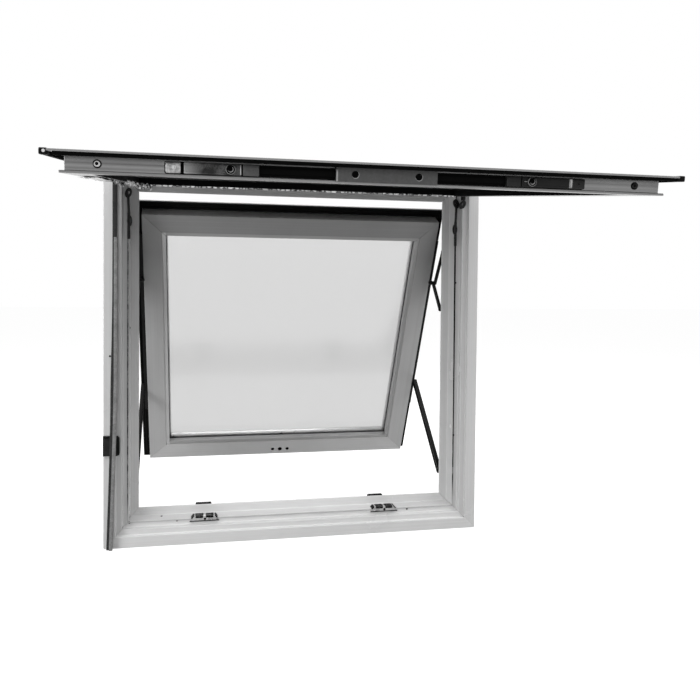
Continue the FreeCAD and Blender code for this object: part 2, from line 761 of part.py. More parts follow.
def build_stays():
    """A friction stay each side: track on the jamb, bar on the sash, a long arm, a short arm and a link."""
    wall = size.frame_width / 2 - rebate_inset
    side_wall = sash_width / 2
    track_middle = fin_back + size.track_depth
    bar_middle = size.sash_bar_edge + size.sash_bar_width / 2
    long_sash = on_sash(size.long_arm_sash_run, bar_middle)
    long_jamb = (track_middle, size.long_arm_jamb_level)
    tab_pivot = on_sash(size.tab_run, 0 - size.tab_reach)
    short_jamb = (track_middle, size.frame_height - size.short_arm_drop)
    upper_jamb = (track_middle, size.frame_height - size.upper_link_drop)
    bar_face = side_wall + size.sash_bar_thickness
    link_face = bar_face + size.link_thickness
    track_face = wall - size.track_thickness
    pins = []
    for side, way in (("left", -1), ("right", 1)):

        def sided(near, far):
            return (near, far) if way > 0 else (0 - far, 0 - near)

        track = block("track_" + side, sided(track_face, wall),
                      (track_middle - size.track_width / 2, track_middle + size.track_width / 2),
                      (long_jamb[1] - size.track_overrun, upper_jamb[1] + size.track_overrun))
        node(track, "stay_track_" + side)
        bar = block("bar_" + side, sided(side_wall, bar_face),
                    (size.sash_bar_edge, size.sash_bar_edge + size.sash_bar_width),
                    (0 - size.long_arm_sash_run - size.sash_bar_tail, size.sash_bar_lead - size.tab_run))
        tab = block("tab_" + side, sided(side_wall, bar_face),
                    (0 - size.tab_reach, size.sash_bar_edge),
                    (0 - size.tab_run - size.link_width / 2, 0 - size.tab_run + size.link_width / 2))
        tab_end = round_bar("tab_end_" + side, size.link_width, size.sash_bar_thickness,
                            at(sided(side_wall, bar_face)[0], 0 - size.tab_reach, 0 - size.tab_run,
                               (0, 1, 0), 90.0))
        node(fuse("sash_bar_body_" + side, [bar, tab, tab_end]), "sash_bar_" + side, sash_pose)
        arms = (
            ("stay_long_arm_", long_sash, long_jamb, size.long_arm_width, size.long_arm_thickness, bar_face),
            ("stay_short_arm_", tab_pivot, short_jamb, size.link_width, size.link_thickness, bar_face),
            ("stay_upper_link_", tab_pivot, upper_jamb, size.link_width, size.link_thickness, link_face),
        )
        for name, start, end, width, thickness, face in arms:
            near = sided(face, face + thickness)[0]
            arm, reach, pose = flat_arm(name + "body_" + side, start, end, width, thickness, near)
            if name == "stay_long_arm_":
                half_groove = width / 2 - size.long_arm_wall
                floor = (as_size(0), size.long_arm_groove)
                if way < 0:
                    floor = (thickness - size.long_arm_groove, thickness)
                groove = block("groove_" + side, floor, (width / 2, reach - width / 2),
                               (0 - half_groove, half_groove))
                groove.Placement = pose.multiply(groove.Placement)
                arm = cut("long_arm_channel_" + side, arm, groove)
            node(arm, name + side)
            pin_start = sided(face + thickness, track_face)[0]
            pins.append(round_bar(name + "pin_" + side, size.pin_diameter, track_face - face - thickness,
                                  at(pin_start, end[0], end[1], (0, 1, 0), 90.0)))
    node(gather("stay_pin_set", pins), "stay_pins")


build_frame()
build_frame_seal()
build_keeps()
build_side_rod()
build_screen()
build_locks()
build_screen_hinges()
build_sash()
build_stays()
doc.recompute()

for thing in doc.Objects:
    if "Invalid" in thing.State or "Error" in thing.State:
        raise RuntimeError("failed object: " + thing.Name)
for thing in nodes:
    if thing.Shape.isNull() or not thing.Shape.isValid():
        raise RuntimeError("bad shape: " + thing.Label)

os.makedirs("parts", exist_ok=True)
for thing in nodes:
    thing.Shape.exportStep("parts/%s.step" % thing.Label)
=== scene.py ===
"""Top hung awning window: detail pieces, finishes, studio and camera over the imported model."""

import logging
import math
from contextlib import contextmanager
from dataclasses import dataclass
from enum import Enum
from typing import Any, Callable, Iterable, Iterator

import bmesh
import bpy
from mathutils import Matrix, Vector


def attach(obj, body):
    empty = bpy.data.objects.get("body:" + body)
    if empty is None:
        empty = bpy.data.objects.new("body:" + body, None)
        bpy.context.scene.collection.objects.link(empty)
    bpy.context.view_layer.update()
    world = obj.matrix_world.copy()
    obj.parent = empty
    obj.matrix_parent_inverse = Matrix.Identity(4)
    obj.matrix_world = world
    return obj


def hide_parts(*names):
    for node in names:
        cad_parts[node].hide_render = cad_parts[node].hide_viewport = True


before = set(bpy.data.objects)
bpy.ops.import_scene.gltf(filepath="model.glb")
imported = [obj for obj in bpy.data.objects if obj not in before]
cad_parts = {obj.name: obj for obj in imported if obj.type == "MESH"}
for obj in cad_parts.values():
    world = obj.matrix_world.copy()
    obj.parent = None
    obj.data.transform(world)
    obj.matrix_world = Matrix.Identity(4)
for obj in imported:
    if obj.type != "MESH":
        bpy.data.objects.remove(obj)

log = logging.getLogger("awning_window")

MM = 0.001
WHITE = (1.0, 1.0, 1.0, 1.0)
# A face looks a given way from this cosine on, and an edge runs along an axis from this length on, in mm.
FACING_COSINE = 0.95
LEAST_RUN = 0.3
# Angles in degrees: edges sharper than these stay sharp in the shading, or are broken on the CAD nodes.
SMOOTH_ANGLE = 35.0
BREAK_ANGLE = 40.0
# Gap in mm that is closed before the edges of the CAD nodes are broken.
WELD_GAP = 0.01

Piece = bpy.types.Object
Tree = bpy.types.NodeTree
Socket = bpy.types.NodeSocket
Span = tuple[float, float]
Spot = tuple[float, float, float]
Steps = tuple[Span, ...]
Test = Callable[[Vector, Vector], bool]


# Places: the row frame, and the two sashes in their own millimetres

class Side(Enum):
    """Left or right of the window, seen from the room."""

    LEFT = -1
    RIGHT = 1


class Run(Enum):
    """Way that a bar was extruded or drawn, as an axis of its own frame."""

    ACROSS = (1.0, 0.0, 0.0)
    THROUGH = (0.0, 1.0, 0.0)
    UPRIGHT = (0.0, 0.0, 1.0)

    def turn(self) -> Spot:
        """Turn that lays an upright bar along this way."""
        return self.value[1] * math.pi / 2, self.value[0] * math.pi / 2, 0.0


@dataclass(frozen=True)
class Place:
    """A frame of millimetres that pieces are modelled in before they go to the row frame.

    Its x is the row's x, its y runs through the thickness and its z up along the sash.
    """

    depth: float = 0.0
    level: float = 0.0
    tilt: float = 0.0

    def matrix(self) -> Matrix:
        """Place of this frame in the row frame, in metres."""
        turn = Matrix.Rotation(math.radians(self.tilt), 4, "X")
        return Matrix.Translation((0.0, self.depth * MM, self.level * MM)) @ turn


HOME = Place()
SCREEN = Place(depth=-44.5, level=861.0, tilt=-83.1)
SASH = Place(depth=19.914, level=774.0, tilt=27.0)


# Bench: small helpers round Blender's own modelling operators

def in_metres(values: Iterable[float]) -> list[float]:
    """Turns millimetres into metres."""
    return [value * MM for value in values]


def everything(first: Vector, second: Vector) -> bool:
    """Passes any face or edge."""
    return True


def facing(x: float = 0.0, y: float = 0.0, z: float = 0.0) -> Test:
    """Gives a test on a face's middle and normal, for faces that look a given way."""
    way = Vector((x, y, z))
    return lambda middle, normal: normal.dot(way) > FACING_COSINE


def running(run: Run) -> Test:
    """Gives a test on the places of an edge's ends, for edges along one axis."""
    way = Vector(run.value)
    return lambda a, b: abs((a - b).dot(way)) > LEAST_RUN


def clear_selection() -> None:
    """Leaves edit mode and deselects everything."""
    if bpy.context.object and bpy.context.object.mode != "OBJECT":
        bpy.ops.object.mode_set(mode="OBJECT")
    bpy.ops.object.select_all(action="DESELECT")


def take_up(piece: Piece) -> None:
    """Makes a piece the only selected and active object.

    Args:
        piece: The piece.
    """
    clear_selection()
    piece.select_set(True)
    bpy.context.view_layer.objects.active = piece


@contextmanager
def editing(piece: Piece, faces: Test | None = None, edges: Test | None = None) -> Iterator[None]:
    """Opens a piece in edit mode, with what passes a test selected, or all of it where there is none.

    Args:
        piece: The mesh object to edit.
        faces: Takes a face's middle in mm and its normal.
        edges: Takes the places of an edge's ends in mm.
    """
    take_up(piece)
    bpy.ops.object.mode_set(mode="EDIT")
    bpy.ops.mesh.select_all(action="DESELECT" if faces or edges else "SELECT")
    mesh = bmesh.from_edit_mesh(piece.data)
    if faces:
        bpy.ops.mesh.select_mode(type="FACE")
        for face in mesh.faces:
            face.select_set(faces(face.calc_center_median() / MM, face.normal))
    if edges:
        bpy.ops.mesh.select_mode(type="EDGE")
        for edge in mesh.edges:
            edge.select_set(edges(edge.verts[0].co / MM, edge.verts[1].co / MM))
    bmesh.update_edit_mesh(piece.data)
    yield
    bpy.ops.object.mode_set(mode="OBJECT")


def round_edges(piece: Piece, width: float, segments: int = 2, test: Test = everything) -> None:
    """Rounds the edges that pass a test, by a width in mm and with so many facets across it."""
    with editing(piece, edges=test):
        bpy.ops.mesh.bevel(offset=width * MM, segments=segments, affect="EDGES", clamp_overlap=True)


def push_faces(piece: Piece, test: Test, *steps: Span) -> None:
    """Insets the faces that pass a test and raises or sinks them, step after step on what is left inside.

    Args:
        piece: The object to shape.
        test: Takes a face's middle in mm and its normal.
        steps: Pairs of a border's width and a rise along the normal, both in mm. A sink is negative.
    """
    with editing(piece, faces=test):
        for border, rise in steps:
            bpy.ops.mesh.inset(thickness=border * MM, depth=rise * MM, use_even_offset=True)


def shift_faces(piece: Piece, test: Test, move: Spot = (0.0, 0.0, 0.0), size: Spot = (1.0, 1.0, 1.0),
                about: Spot = (0.0, 0.0, 0.0)) -> None:
    """Moves and scales the faces that pass a test, with the faces beside them in tow.

    Args:
        piece: The object to shape.
        test: Takes a face's middle in mm and its normal.
        move: Shift in mm.
        size: Scale along each axis.
        about: Point in mm that the scale keeps in place.
    """
    with editing(piece, faces=test):
        bpy.ops.transform.resize(value=size, center_override=in_metres(about))
        bpy.ops.transform.translate(value=in_metres(move))


def add_modifier(piece: Piece, kind: str, **settings: Any) -> str:
    """Adds a modifier to a piece and sets it.

    Args:
        piece: The piece.
        kind: Blender's name for the kind of modifier.
        settings: Properties of the modifier.

    Returns:
        The modifier's name.
    """
    modifier = piece.modifiers.new(kind.lower(), kind)
    for key, value in settings.items():
        setattr(modifier, key, value)
    return modifier.name


def apply_modifier(piece: Piece, kind: str, **settings: Any) -> None:
    """Adds a modifier to a piece, as add_modifier does, and applies it."""
    take_up(piece)
    bpy.ops.object.modifier_apply(modifier=add_modifier(piece, kind, **settings))


def cut_with(piece: Piece, *tools: Piece) -> None:
    """Cuts tools out of a piece and removes them.

    Args:
        piece: The piece to cut.
        tools: The pieces to cut away.
    """
    for tool in tools:
        apply_modifier(piece, "BOOLEAN", operation="DIFFERENCE", solver="EXACT", object=tool)
        bpy.data.objects.remove(tool, do_unlink=True)


def repeat_piece(piece: Piece, count: int, pitch: Spot) -> None:
    """Repeats a piece in a row, with a shift in mm from each to the next."""
    apply_modifier(piece, "ARRAY", count=count, use_relative_offset=False, use_constant_offset=True,
                   constant_offset_displace=in_metres(pitch))


def apply_place() -> None:
    """Puts the selected object's place, turn and scale into its mesh."""
    bpy.ops.object.transform_apply(location=True, rotation=True, scale=True)


def copy_piece(piece: Piece, name: str, shift: Spot = (0.0, 0.0, 0.0), mirrored: bool = False) -> Piece:
    """Copies a piece, with a mesh of its own.

    Args:
        piece: The piece to copy.
        name: Name of the copy.
        shift: Shift of the copy in mm.
        mirrored: Whether the copy is the mirror image across the window's middle.

    Returns:
        The copy, at the origin, with its place in its mesh.
    """
    take_up(piece)
    bpy.ops.object.duplicate(linked=False)
    twin = bpy.context.object
    twin.name = name
    twin.location = in_metres(shift)
    if mirrored:
        twin.scale = (-1.0, 1.0, 1.0)
    apply_place()
    if mirrored:
        with editing(twin):
            bpy.ops.mesh.normals_make_consistent(inside=False)
    return twin


def join_pieces(name: str, parts: list[Piece]) -> Piece:
    """Joins parts into one piece.

    Args:
        name: Name of the joined piece.
        parts: The parts, of which the first is kept.

    Returns:
        The joined piece.
    """
    take_up(parts[0])
    for part in parts[1:]:
        part.select_set(True)
    bpy.ops.object.join()
    parts[0].name = name
    return parts[0]


@dataclass(frozen=True)
class Block:
    """A block between two corners in mm, with all its edges rounded, or only those along one way."""

    low: Spot
    high: Spot
    edge: float = 0.0
    segments: int = 2
    run: Run | None = None

    def model(self, name: str = "part", x: float = 0.0) -> Piece:
        """Models the block.

        Args:
            name: Name of the object.
            x: Shift to the right in mm.

        Returns:
            The block, at the origin, with its place in its mesh.
        """
        clear_selection()
        middle = [(a + b) / 2 for a, b in zip(self.low, self.high)]
        bpy.ops.mesh.primitive_cube_add(size=1.0, location=in_metres((middle[0] + x, *middle[1:])))
        piece = bpy.context.object
        piece.name = name
        piece.scale = in_metres(b - a for a, b in zip(self.low, self.high))
        apply_place()
        if self.edge:
            round_edges(piece, self.edge, self.segments, running(self.run) if self.run else everything)
        return piece


@dataclass(frozen=True)
class Disc:
    """A round bar about its middle in mm, with steps of its face as push_faces takes them.

    The face looks down its run where way is -1, and up it where way is 1.
    """

    middle: Spot
    radius: float
    length: float
    run: Run = Run.UPRIGHT
    sides: int = 32
    steps: Steps = ()
    way: int = -1

    def model(self, name: str = "part", x: float = 0.0) -> Piece:
        """Models the disc.

        Args:
            name: Name of the object.
            x: Shift to the right in mm.

        Returns:
            The disc, at the origin, with its place in its mesh.
        """
        clear_selection()
        bpy.ops.mesh.primitive_cylinder_add(
            vertices=self.sides, radius=self.radius * MM, depth=self.length * MM, rotation=self.run.turn(),
            location=in_metres((self.middle[0] + x, *self.middle[1:])))
        piece = bpy.context.object
        piece.name = name
        apply_place()
        if self.steps:
            push_faces(piece, facing(*(value * self.way for value in self.run.value)), *self.steps)
        return piece


@dataclass(frozen=True)
class Strip:
    """A flat strip up along a line of its front's middle, with half its width and its depth in mm."""

    line: tuple[Spot, ...]
    half: float
    depth: float

    def model(self, name: str) -> Piece:
        """Models the strip by drawing out the top of its first length, move after move.

        Args:
            name: Name of the object.

        Returns:
            The strip, at the origin, with its place in its mesh.
        """
        (x, y, z), second = self.line[:2]
        strip = Block((x - self.half, y, z), (x + self.half, y + self.depth, second[2])).model(name)
        shift_faces(strip, facing(z=1.0), move=(second[0] - x, second[1] - y, 0.0))
        with editing(strip, faces=facing(z=1.0)):
            for start, end in zip(self.line[1:], self.line[2:]):
                move = in_metres(b - a for a, b in zip(start, end))
                bpy.ops.mesh.extrude_region_move(TRANSFORM_OT_translate={"value": move})
        return strip


def ring_of_bars(name: str, half: float, foot: float, top: float, width: float, depths: Span,
                 edge: float) -> Piece:
    """Models four bars round an upright rectangle, in mm.

    Args:
        name: Name of the piece.
        half: Half the width over the bars.
        foot: Level of the lower side.
        top: Level of the upper side.
        width: Width of the bars.
        depths: Depth of their front and of their back.
        edge: Rounding of their edges.

    Returns:
        The four bars as one object.
    """
    front, back = depths
    spans = (((-half, top - width), (half, top)), ((-half, foot), (half, foot + width)),
             ((-half, foot + width), (width - half, top - width)),
             ((half - width, foot + width), (half, top - width)))
    bars = [Block((a[0], front, a[1]), (b[0], back, b[1]), edge).model() for a, b in spans]
    return join_pieces(name, bars)


# Finishes

def linear(hex_tone: str) -> tuple[float, float, float, float]:
    """Turns an sRGB hex value into a linear colour.

    Args:
        hex_tone: Six hex digits after a hash.

    Returns:
        Red, green, blue and an alpha of 1.
    """
    steps = [int(hex_tone[i:i + 2], 16) / 255 for i in (1, 3, 5)]
    red, green, blue = [s / 12.92 if s <= 0.04045 else ((s + 0.055) / 1.055) ** 2.4 for s in steps]
    return red, green, blue, 1.0


def add_node(tree: Tree, kind: str, inputs: dict[Any, Any], **settings: Any) -> bpy.types.Node:
    """Adds a node, sets it and links it.

    Args:
        tree: The node tree.
        kind: Blender's name for the kind of node.
        inputs: Values or output sockets by the name or number of the input.
        settings: Properties of the node.

    Returns:
        The new node.
    """
    node = tree.nodes.new(kind)
    for key, value in settings.items():
        setattr(node, key, value)
    for key, value in inputs.items():
        if isinstance(value, Socket):
            tree.links.new(value, node.inputs[key])
        else:
            node.inputs[key].default_value = value
    return node


def own_place(tree: Tree) -> Socket:
    """Adds the piece's own coordinates, in metres."""
    return add_node(tree, "ShaderNodeTexCoord", {}).outputs["Object"]


def part_of(tree: Tree, vector: Socket, axis: str) -> Socket:
    """Adds one coordinate of a vector."""
    return add_node(tree, "ShaderNodeSeparateXYZ", {0: vector}).outputs[axis]


def noise(tree: Tree, vector: Socket, grain: float, detail: float, roughness: float = 0.5) -> Socket:
    """Adds a cloudy pattern with a grain of so many mm."""
    values = {"Vector": vector, "Scale": 1.0 / (grain * MM), "Detail": detail, "Roughness": roughness}
    return add_node(tree, "ShaderNodeTexNoise", values).outputs["Fac"]


def remap(tree: Tree, value: Socket, span: Span, to: Span = (0.0, 1.0)) -> Socket:
    """Adds a change from one span of values to another, clamped at its ends."""
    values = {"Value": value, "From Min": span[0], "From Max": span[1], "To Min": to[0], "To Max": to[1]}
    return add_node(tree, "ShaderNodeMapRange", values).outputs[0]


def combine(tree: Tree, first: Any, second: Any, operation: str) -> Socket:
    """Adds the sum, the product or the greater of two values."""
    return add_node(tree, "ShaderNodeMath", {0: first, 1: second}, operation=operation).outputs[0]


def blend(tree: Tree, amount: Socket, first: Any, second: Any) -> Socket:
    """Adds a mix of two colours."""
    return add_node(tree, "ShaderNodeMix", {0: amount, 6: first, 7: second}, data_type="RGBA").outputs[2]


def emboss(tree: Tree, strength: float, distance: float, height: Socket) -> Socket:
    """Adds a bump with a depth in mm."""
    values = {"Strength": strength, "Distance": distance * MM, "Height": height}
    return add_node(tree, "ShaderNodeBump", values).outputs[0]


@dataclass(frozen=True)
class Finish:
    """A surface finish: its shader values and the pattern that breaks them up."""

    name: str
    tone: str
    metallic: float
    roughness: float
    gloss: float = 0.5

    def material(self) -> bpy.types.Material:
        """Makes the material once and gives the same one from then on.

        Returns:
            The material.
        """
        made = bpy.data.materials.get(self.name)
        if made:
            return made
        made = bpy.data.materials.new(self.name)
        made.use_nodes = True
        tree = made.node_tree
        shader = tree.nodes["Principled BSDF"]
        values = {"Base Color": linear(self.tone), "Metallic": self.metallic, "Roughness": self.roughness,
                  "Specular IOR Level": self.gloss, **self.fixed()}
        for key, value in values.items():
            shader.inputs[key].default_value = value
        for key, socket in self.pattern(tree).items():
            tree.links.new(socket, shader.inputs[key])
        return made

    def fixed(self) -> dict[str, float]:
        """Gives further shader values that stay the same all over."""
        return {}

    def pattern(self, tree: Tree) -> dict[str, Socket]:
        """Adds the finish's pattern and gives what drives the shader. Each kind of finish has its own."""
        raise NotImplementedError

    def dress(self, piece: Piece) -> None:
        """Gives a piece this finish all over."""
        piece.data.materials.clear()
        piece.data.materials.append(self.material())


@dataclass(frozen=True)
class CoatedExtrusion(Finish):
    """Powder-coated or anodised aluminium extrusion.

    The eye gets a satin skin with faint orange peel, die lines along the bar and, where it has one, a band of
    painted light and shade in another tone: an even, lighter flange on the room side, a painted highlight on
    the left bead and painted shade on the upper end of the stiles.
    """

    run: Run = Run.ACROSS
    place: Place = HOME
    dark_tone: str = "#808080"
    line_pitch: float = 2.2
    line_length: float = 900.0
    line_strength: float = 0.35
    cloud: float = 140.0
    peel: float = 2.5
    bump: float = 0.04
    soiling: float = 0.22
    band_axis: str = "Y"
    band: Span | None = None
    painted_band_tone: str = ""

    def pattern(self, tree: Tree) -> dict[str, Socket]:
        """Adds die lines along the bar, cloudy soiling, orange peel and the band of painted light and shade.

        Args:
            tree: The material's nodes.

        Returns:
            The sockets for the shader's inputs.
        """
        home = self.place.matrix().inverted()
        turned = add_node(tree, "ShaderNodeMapping", {"Vector": own_place(tree), "Location": home.translation,
                                                      "Rotation": home.to_euler()}).outputs[0]
        # Die lines are tenths of a millimetre wide and are drawn some millimetres apart, so that they show.
        stretch = [1.0 / (self.line_length if axis else self.line_pitch) for axis in self.run.value]
        lined = add_node(tree, "ShaderNodeMapping", {"Vector": turned, "Scale": stretch}).outputs[0]
        lines = noise(tree, lined, 1.0, 3.0)
        clouds = noise(tree, turned, self.cloud, 5.0, 0.6)
        shade = remap(tree, lines, (0.35, 0.75), (0.0, self.line_strength))
        soil = remap(tree, clouds, (0.5, 0.8), (0.0, self.soiling))
        tone = blend(tree, combine(tree, shade, soil, "ADD"), linear(self.tone), linear(self.dark_tone))
        # The band paints light and shade in a tone of its own over one span of one axis.
        if self.band:
            edge = remap(tree, part_of(tree, turned, self.band_axis), in_metres(self.band))
            tone = blend(tree, edge, linear(self.painted_band_tone), tone)
        wear_and_painted_highlight = remap(tree, clouds, (0.3, 0.7), (self.roughness - 0.06, self.roughness + 0.08))
        raised = combine(tree, lines, noise(tree, turned, self.peel, 2.0), "ADD")
        return {"Base Color": tone, "Roughness": wear_and_painted_highlight, "Normal": emboss(tree, self.bump, 0.4, raised)}


@dataclass(frozen=True)
class PlatedCasting(Finish):
    """Die-cast or pressed metal with a plated or painted skin.

    The eye gets a fine speckle from the casting, cloudy tarnish, small pits and, on one case, a painted
    highlight that lightens one end.
    """

    dark_tone: str = "#404040"
    speckle: float = 1.4
    speckle_strength: float = 0.5
    speckle_middle: float = 0.27
    contrast: float = 0.15
    tarnish: float = 14.0
    bump: float = 0.15
    # Span along x in mm of a painted highlight on one end, with its tone and strength.
    wear_and_painted_highlight: Span | None = None
    painted_highlight_tone: str = "#b4b4b4"
    painted_highlight_strength: float = 0.85

    def pattern(self, tree: Tree) -> dict[str, Socket]:
        """Adds speckle, tarnish, pits and the painted highlight on one end.

        Args:
            tree: The material's nodes.

        Returns:
            The sockets for the shader's inputs.
        """
        place = own_place(tree)
        # Casting grain is about 0.3 mm and is drawn several times as coarse, so that it shows.
        grain = noise(tree, place, self.speckle, 4.0, 0.7)
        tarnish = noise(tree, place, self.tarnish, 3.0)
        ends = self.speckle_middle - self.contrast, self.speckle_middle + self.contrast
        amount = remap(tree, combine(tree, grain, tarnish, "MULTIPLY"), ends, (self.speckle_strength, 0.0))
        tone = blend(tree, amount, linear(self.tone), linear(self.dark_tone))
        if self.wear_and_painted_highlight:
            painted_highlight = remap(tree, part_of(tree, place, "X"), in_metres(self.wear_and_painted_highlight), (self.painted_highlight_strength, 0.0))
            tone = blend(tree, painted_highlight, tone, linear(self.painted_highlight_tone))
        gloss = remap(tree, tarnish, (0.3, 0.7), (self.roughness - 0.08, self.roughness + 0.12))
        return {"Base Color": tone, "Roughness": gloss, "Normal": emboss(tree, self.bump, 0.3, grain)}


@dataclass(frozen=True)
class MouldedRubber(Finish):
    """Extruded or moulded rubber and nylon, and other dull black skins.

    The eye gets a dull skin with a bloom of another tone in patches, a fine pebble and, where it has a pale
    level in mm, the bloom's tone all over below it.
    """

    bloom_tone: str = "#3a3a3a"
    bloom: float = 22.0
    pebble: float = 0.9
    pale_level: float = 0.0
    pale_fade: float = 60.0

    def pattern(self, tree: Tree) -> dict[str, Socket]:
        """Adds the bloom, the pebble and, below a level, the bloom's tone all over.

        Args:
            tree: The material's nodes.

        Returns:
            The sockets for the shader's inputs.
        """
        place = own_place(tree)
        pale = remap(tree, noise(tree, place, self.bloom, 5.0, 0.65), (0.45, 0.8))
        if self.pale_level:
            fade = in_metres((self.pale_level, self.pale_level + self.pale_fade))
            pale = combine(tree, pale, remap(tree, part_of(tree, place, "Z"), fade, (1.0, 0.0)), "MAXIMUM")
        tone = blend(tree, pale, linear(self.tone), linear(self.bloom_tone))
        return {"Base Color": tone, "Normal": emboss(tree, 0.12, 0.2, noise(tree, place, self.pebble, 2.0))}


@dataclass(frozen=True)
class CreasedFilm(Finish):
    """Thin protective film with a silver sheen, crumpled where it came loose.

    The eye gets a white gloss broken up by painted shade along the crease lines.
    """

    crease: float = 11.0
    painted_crease_shade_tone: str = "#141414"

    def pattern(self, tree: Tree) -> dict[str, Socket]:
        """Adds painted shade and a bump along the crease lines.

        Args:
            tree: The material's nodes.

        Returns:
            The sockets for the shader's inputs.
        """
        cells = {"Vector": own_place(tree), "Scale": 1.0 / (self.crease * MM)}
        folds = add_node(tree, "ShaderNodeTexVoronoi", cells, feature="DISTANCE_TO_EDGE").outputs["Distance"]
        tone = blend(tree, remap(tree, folds, (0.02, 0.16)), linear(self.painted_crease_shade_tone), linear(self.tone))
        return {"Base Color": tone, "Normal": emboss(tree, 0.6, 1.0, folds)}


@dataclass(frozen=True)
class FloatGlass(Finish):
    """Satin-etched float glass in a sealed double pane.

    The eye gets an even pale grey, with what lies behind it blurred away, and a soft gloss.
    """

    ior: float = 1.52
    haze: float = 160.0

    def fixed(self) -> dict[str, float]:
        """Gives the values that make the pane clear."""
        return {"Transmission Weight": 1.0, "IOR": self.ior}

    def pattern(self, tree: Tree) -> dict[str, Socket]:
        """Adds a patchy haze in the gloss."""
        haze = noise(tree, own_place(tree), self.haze, 4.0)
        return {"Roughness": remap(tree, haze, (0.4, 0.75), (self.roughness, self.roughness + 0.02))}


# One white frame coat: the head's darker copy is painted shade, the sill's lighter copy painted light.
FRAME_HEAD = CoatedExtrusion("white_powder_coat_painted_shade", "#c6c6c6", 0.0, 0.22, dark_tone="#aaaaaa")
FRAME_SILL = CoatedExtrusion("white_powder_coat_painted_light", "#e2e2e2", 0.0, 0.2, dark_tone="#c8c8c8")
FRAME_UPRIGHT = CoatedExtrusion("white_powder_coat_upright", "#dadada", 0.0, 0.22, run=Run.UPRIGHT,
                                dark_tone="#bcbcbc")
# One grey sash coat: the top rail's dark copy is painted shade, the bottom rail's light copy painted light.
SASH_TOP = CoatedExtrusion("grey_powder_coat_painted_shade", "#8e8e8e", 0.1, 0.40, place=SASH, dark_tone="#7a7a7a")
SASH_ACROSS = CoatedExtrusion("grey_powder_coat_painted_light", "#d0d0d0", 0.1, 0.36, place=SASH,
                              dark_tone="#b4b4b4")
# The stiles darken towards their upper end: painted shade under the screen.
SASH_UPRIGHT = CoatedExtrusion("grey_powder_coat_upright", "#c2c2c2", 0.1, 0.36, run=Run.UPRIGHT, place=SASH,
                               dark_tone="#a6a6a6", band_axis="Z", band=(-100.0, -260.0), painted_band_tone="#929292")
# The left bead's lighter band is a painted highlight on the one bead coat.
BEAD = CoatedExtrusion("pale_grey_bead_coat", "#aaaaaa", 0.1, 0.38, place=SASH, dark_tone="#969696",
                       band_axis="X", band=(-317.0, -316.0), painted_band_tone="#d6d6d6")
# The room-side flange gets an even tone, lighter than the lined web: painted light on the lit flange.
SCREEN_ACROSS = CoatedExtrusion("satin_anodised_aluminium_across", "#8e8e8e", 0.85, 0.26, place=SCREEN,
                                dark_tone="#606060", line_pitch=3.0, line_strength=0.9, bump=0.08,
                                band=(2.9, 3.0), painted_band_tone="#868686")
SCREEN_UPRIGHT = CoatedExtrusion("satin_anodised_aluminium_upright", "#8e8e8e", 0.85, 0.22, run=Run.UPRIGHT,
                                 place=SCREEN, dark_tone="#606060", line_pitch=3.0, line_strength=0.6,
                                 bump=0.06, band=(2.9, 3.0), painted_band_tone="#868686")
ROD = PlatedCasting("grey_sprayed_steel_rod", "#969696", 0.0, 0.5, 0.3, dark_tone="#585858", speckle=4.5,
                    speckle_strength=0.7)
STAY = PlatedCasting("black_coated_steel_stay", "#101010", 0.0, 0.40, 0.16, dark_tone="#060606")
BAR = PlatedCasting("black_coated_steel_bar", "#383838", 0.0, 0.45, 0.14, dark_tone="#0c0c0c", speckle=5.0)
# Copies of one casting in painted light and shade: the left lock's parts lighter, the right lock's darker.
CASE_PAINTED_LIGHT = PlatedCasting("die_cast_zinc_painted_light", "#6a6a6a", 0.2, 0.42, 0.3, dark_tone="#161616", speckle=1.3,
                          speckle_strength=1.0, contrast=0.09, bump=0.3, wear_and_painted_highlight=(-257.0, -234.0))
CASE_PAINTED_SHADE = PlatedCasting("die_cast_zinc_painted_shade", "#242424", 0.1, 0.45, 0.18, dark_tone="#141414",
                           speckle=2.0)
BLOCK_PAINTED_HIGHLIGHT = PlatedCasting("plated_die_casting_painted_highlight", "#bebebe", 0.7, 0.34, dark_tone="#6e6e6e",
                             speckle=2.4, speckle_strength=0.8, contrast=0.08, bump=0.3)
BLOCK_PAINTED_HALF_SHADE = PlatedCasting("plated_die_casting_painted_half_shade", "#5c5c5c", 0.3, 0.38, 0.3, dark_tone="#383838",
                           speckle=2.4)
BLOCK_PAINTED_SHADE = PlatedCasting("plated_die_casting_painted_shade", "#2c2c2c", 0.2, 0.40, 0.2, dark_tone="#1c1c1c")
BRIGHT = PlatedCasting("bright_turned_steel", "#d4d4d4", 0.8, 0.28, dark_tone="#9a9a9a", speckle_strength=0.3)
TURNED = PlatedCasting("dull_turned_steel", "#9c9c9c", 0.7, 0.32, dark_tone="#6a6a6a", speckle_strength=0.4)
GEAR = PlatedCasting("dull_galvanised_steel_plate", "#5a5a5a", 0.5, 0.42, 0.3, dark_tone="#424242",
                     speckle=3.4, speckle_strength=0.6)
KEEP = PlatedCasting("bright_zinc_die_casting", "#c0c0c0", 0.6, 0.3, dark_tone="#5c5c5c",
                     speckle_strength=0.8)
SPACER = PlatedCasting("mill_aluminium_spacer", "#d8d8d8", 0.6, 0.35, dark_tone="#b8b8b8",
                       speckle_strength=0.3)
SEAL = MouldedRubber("black_epdm_rubber", "#0a0a0a", 0.0, 0.62, 0.06, bloom_tone="#141414")
RETAINER = MouldedRubber("black_retaining_rubber", "#060606", 0.0, 0.7, 0.03, bloom_tone="#0a0a0a")
NYLON = MouldedRubber("black_moulded_nylon", "#0a0a0a", 0.0, 0.45, 0.06, bloom_tone="#121212")
CLIP = MouldedRubber("dark_moulded_nylon", "#181818", 0.0, 0.45, 0.12, bloom_tone="#2a2a2a")
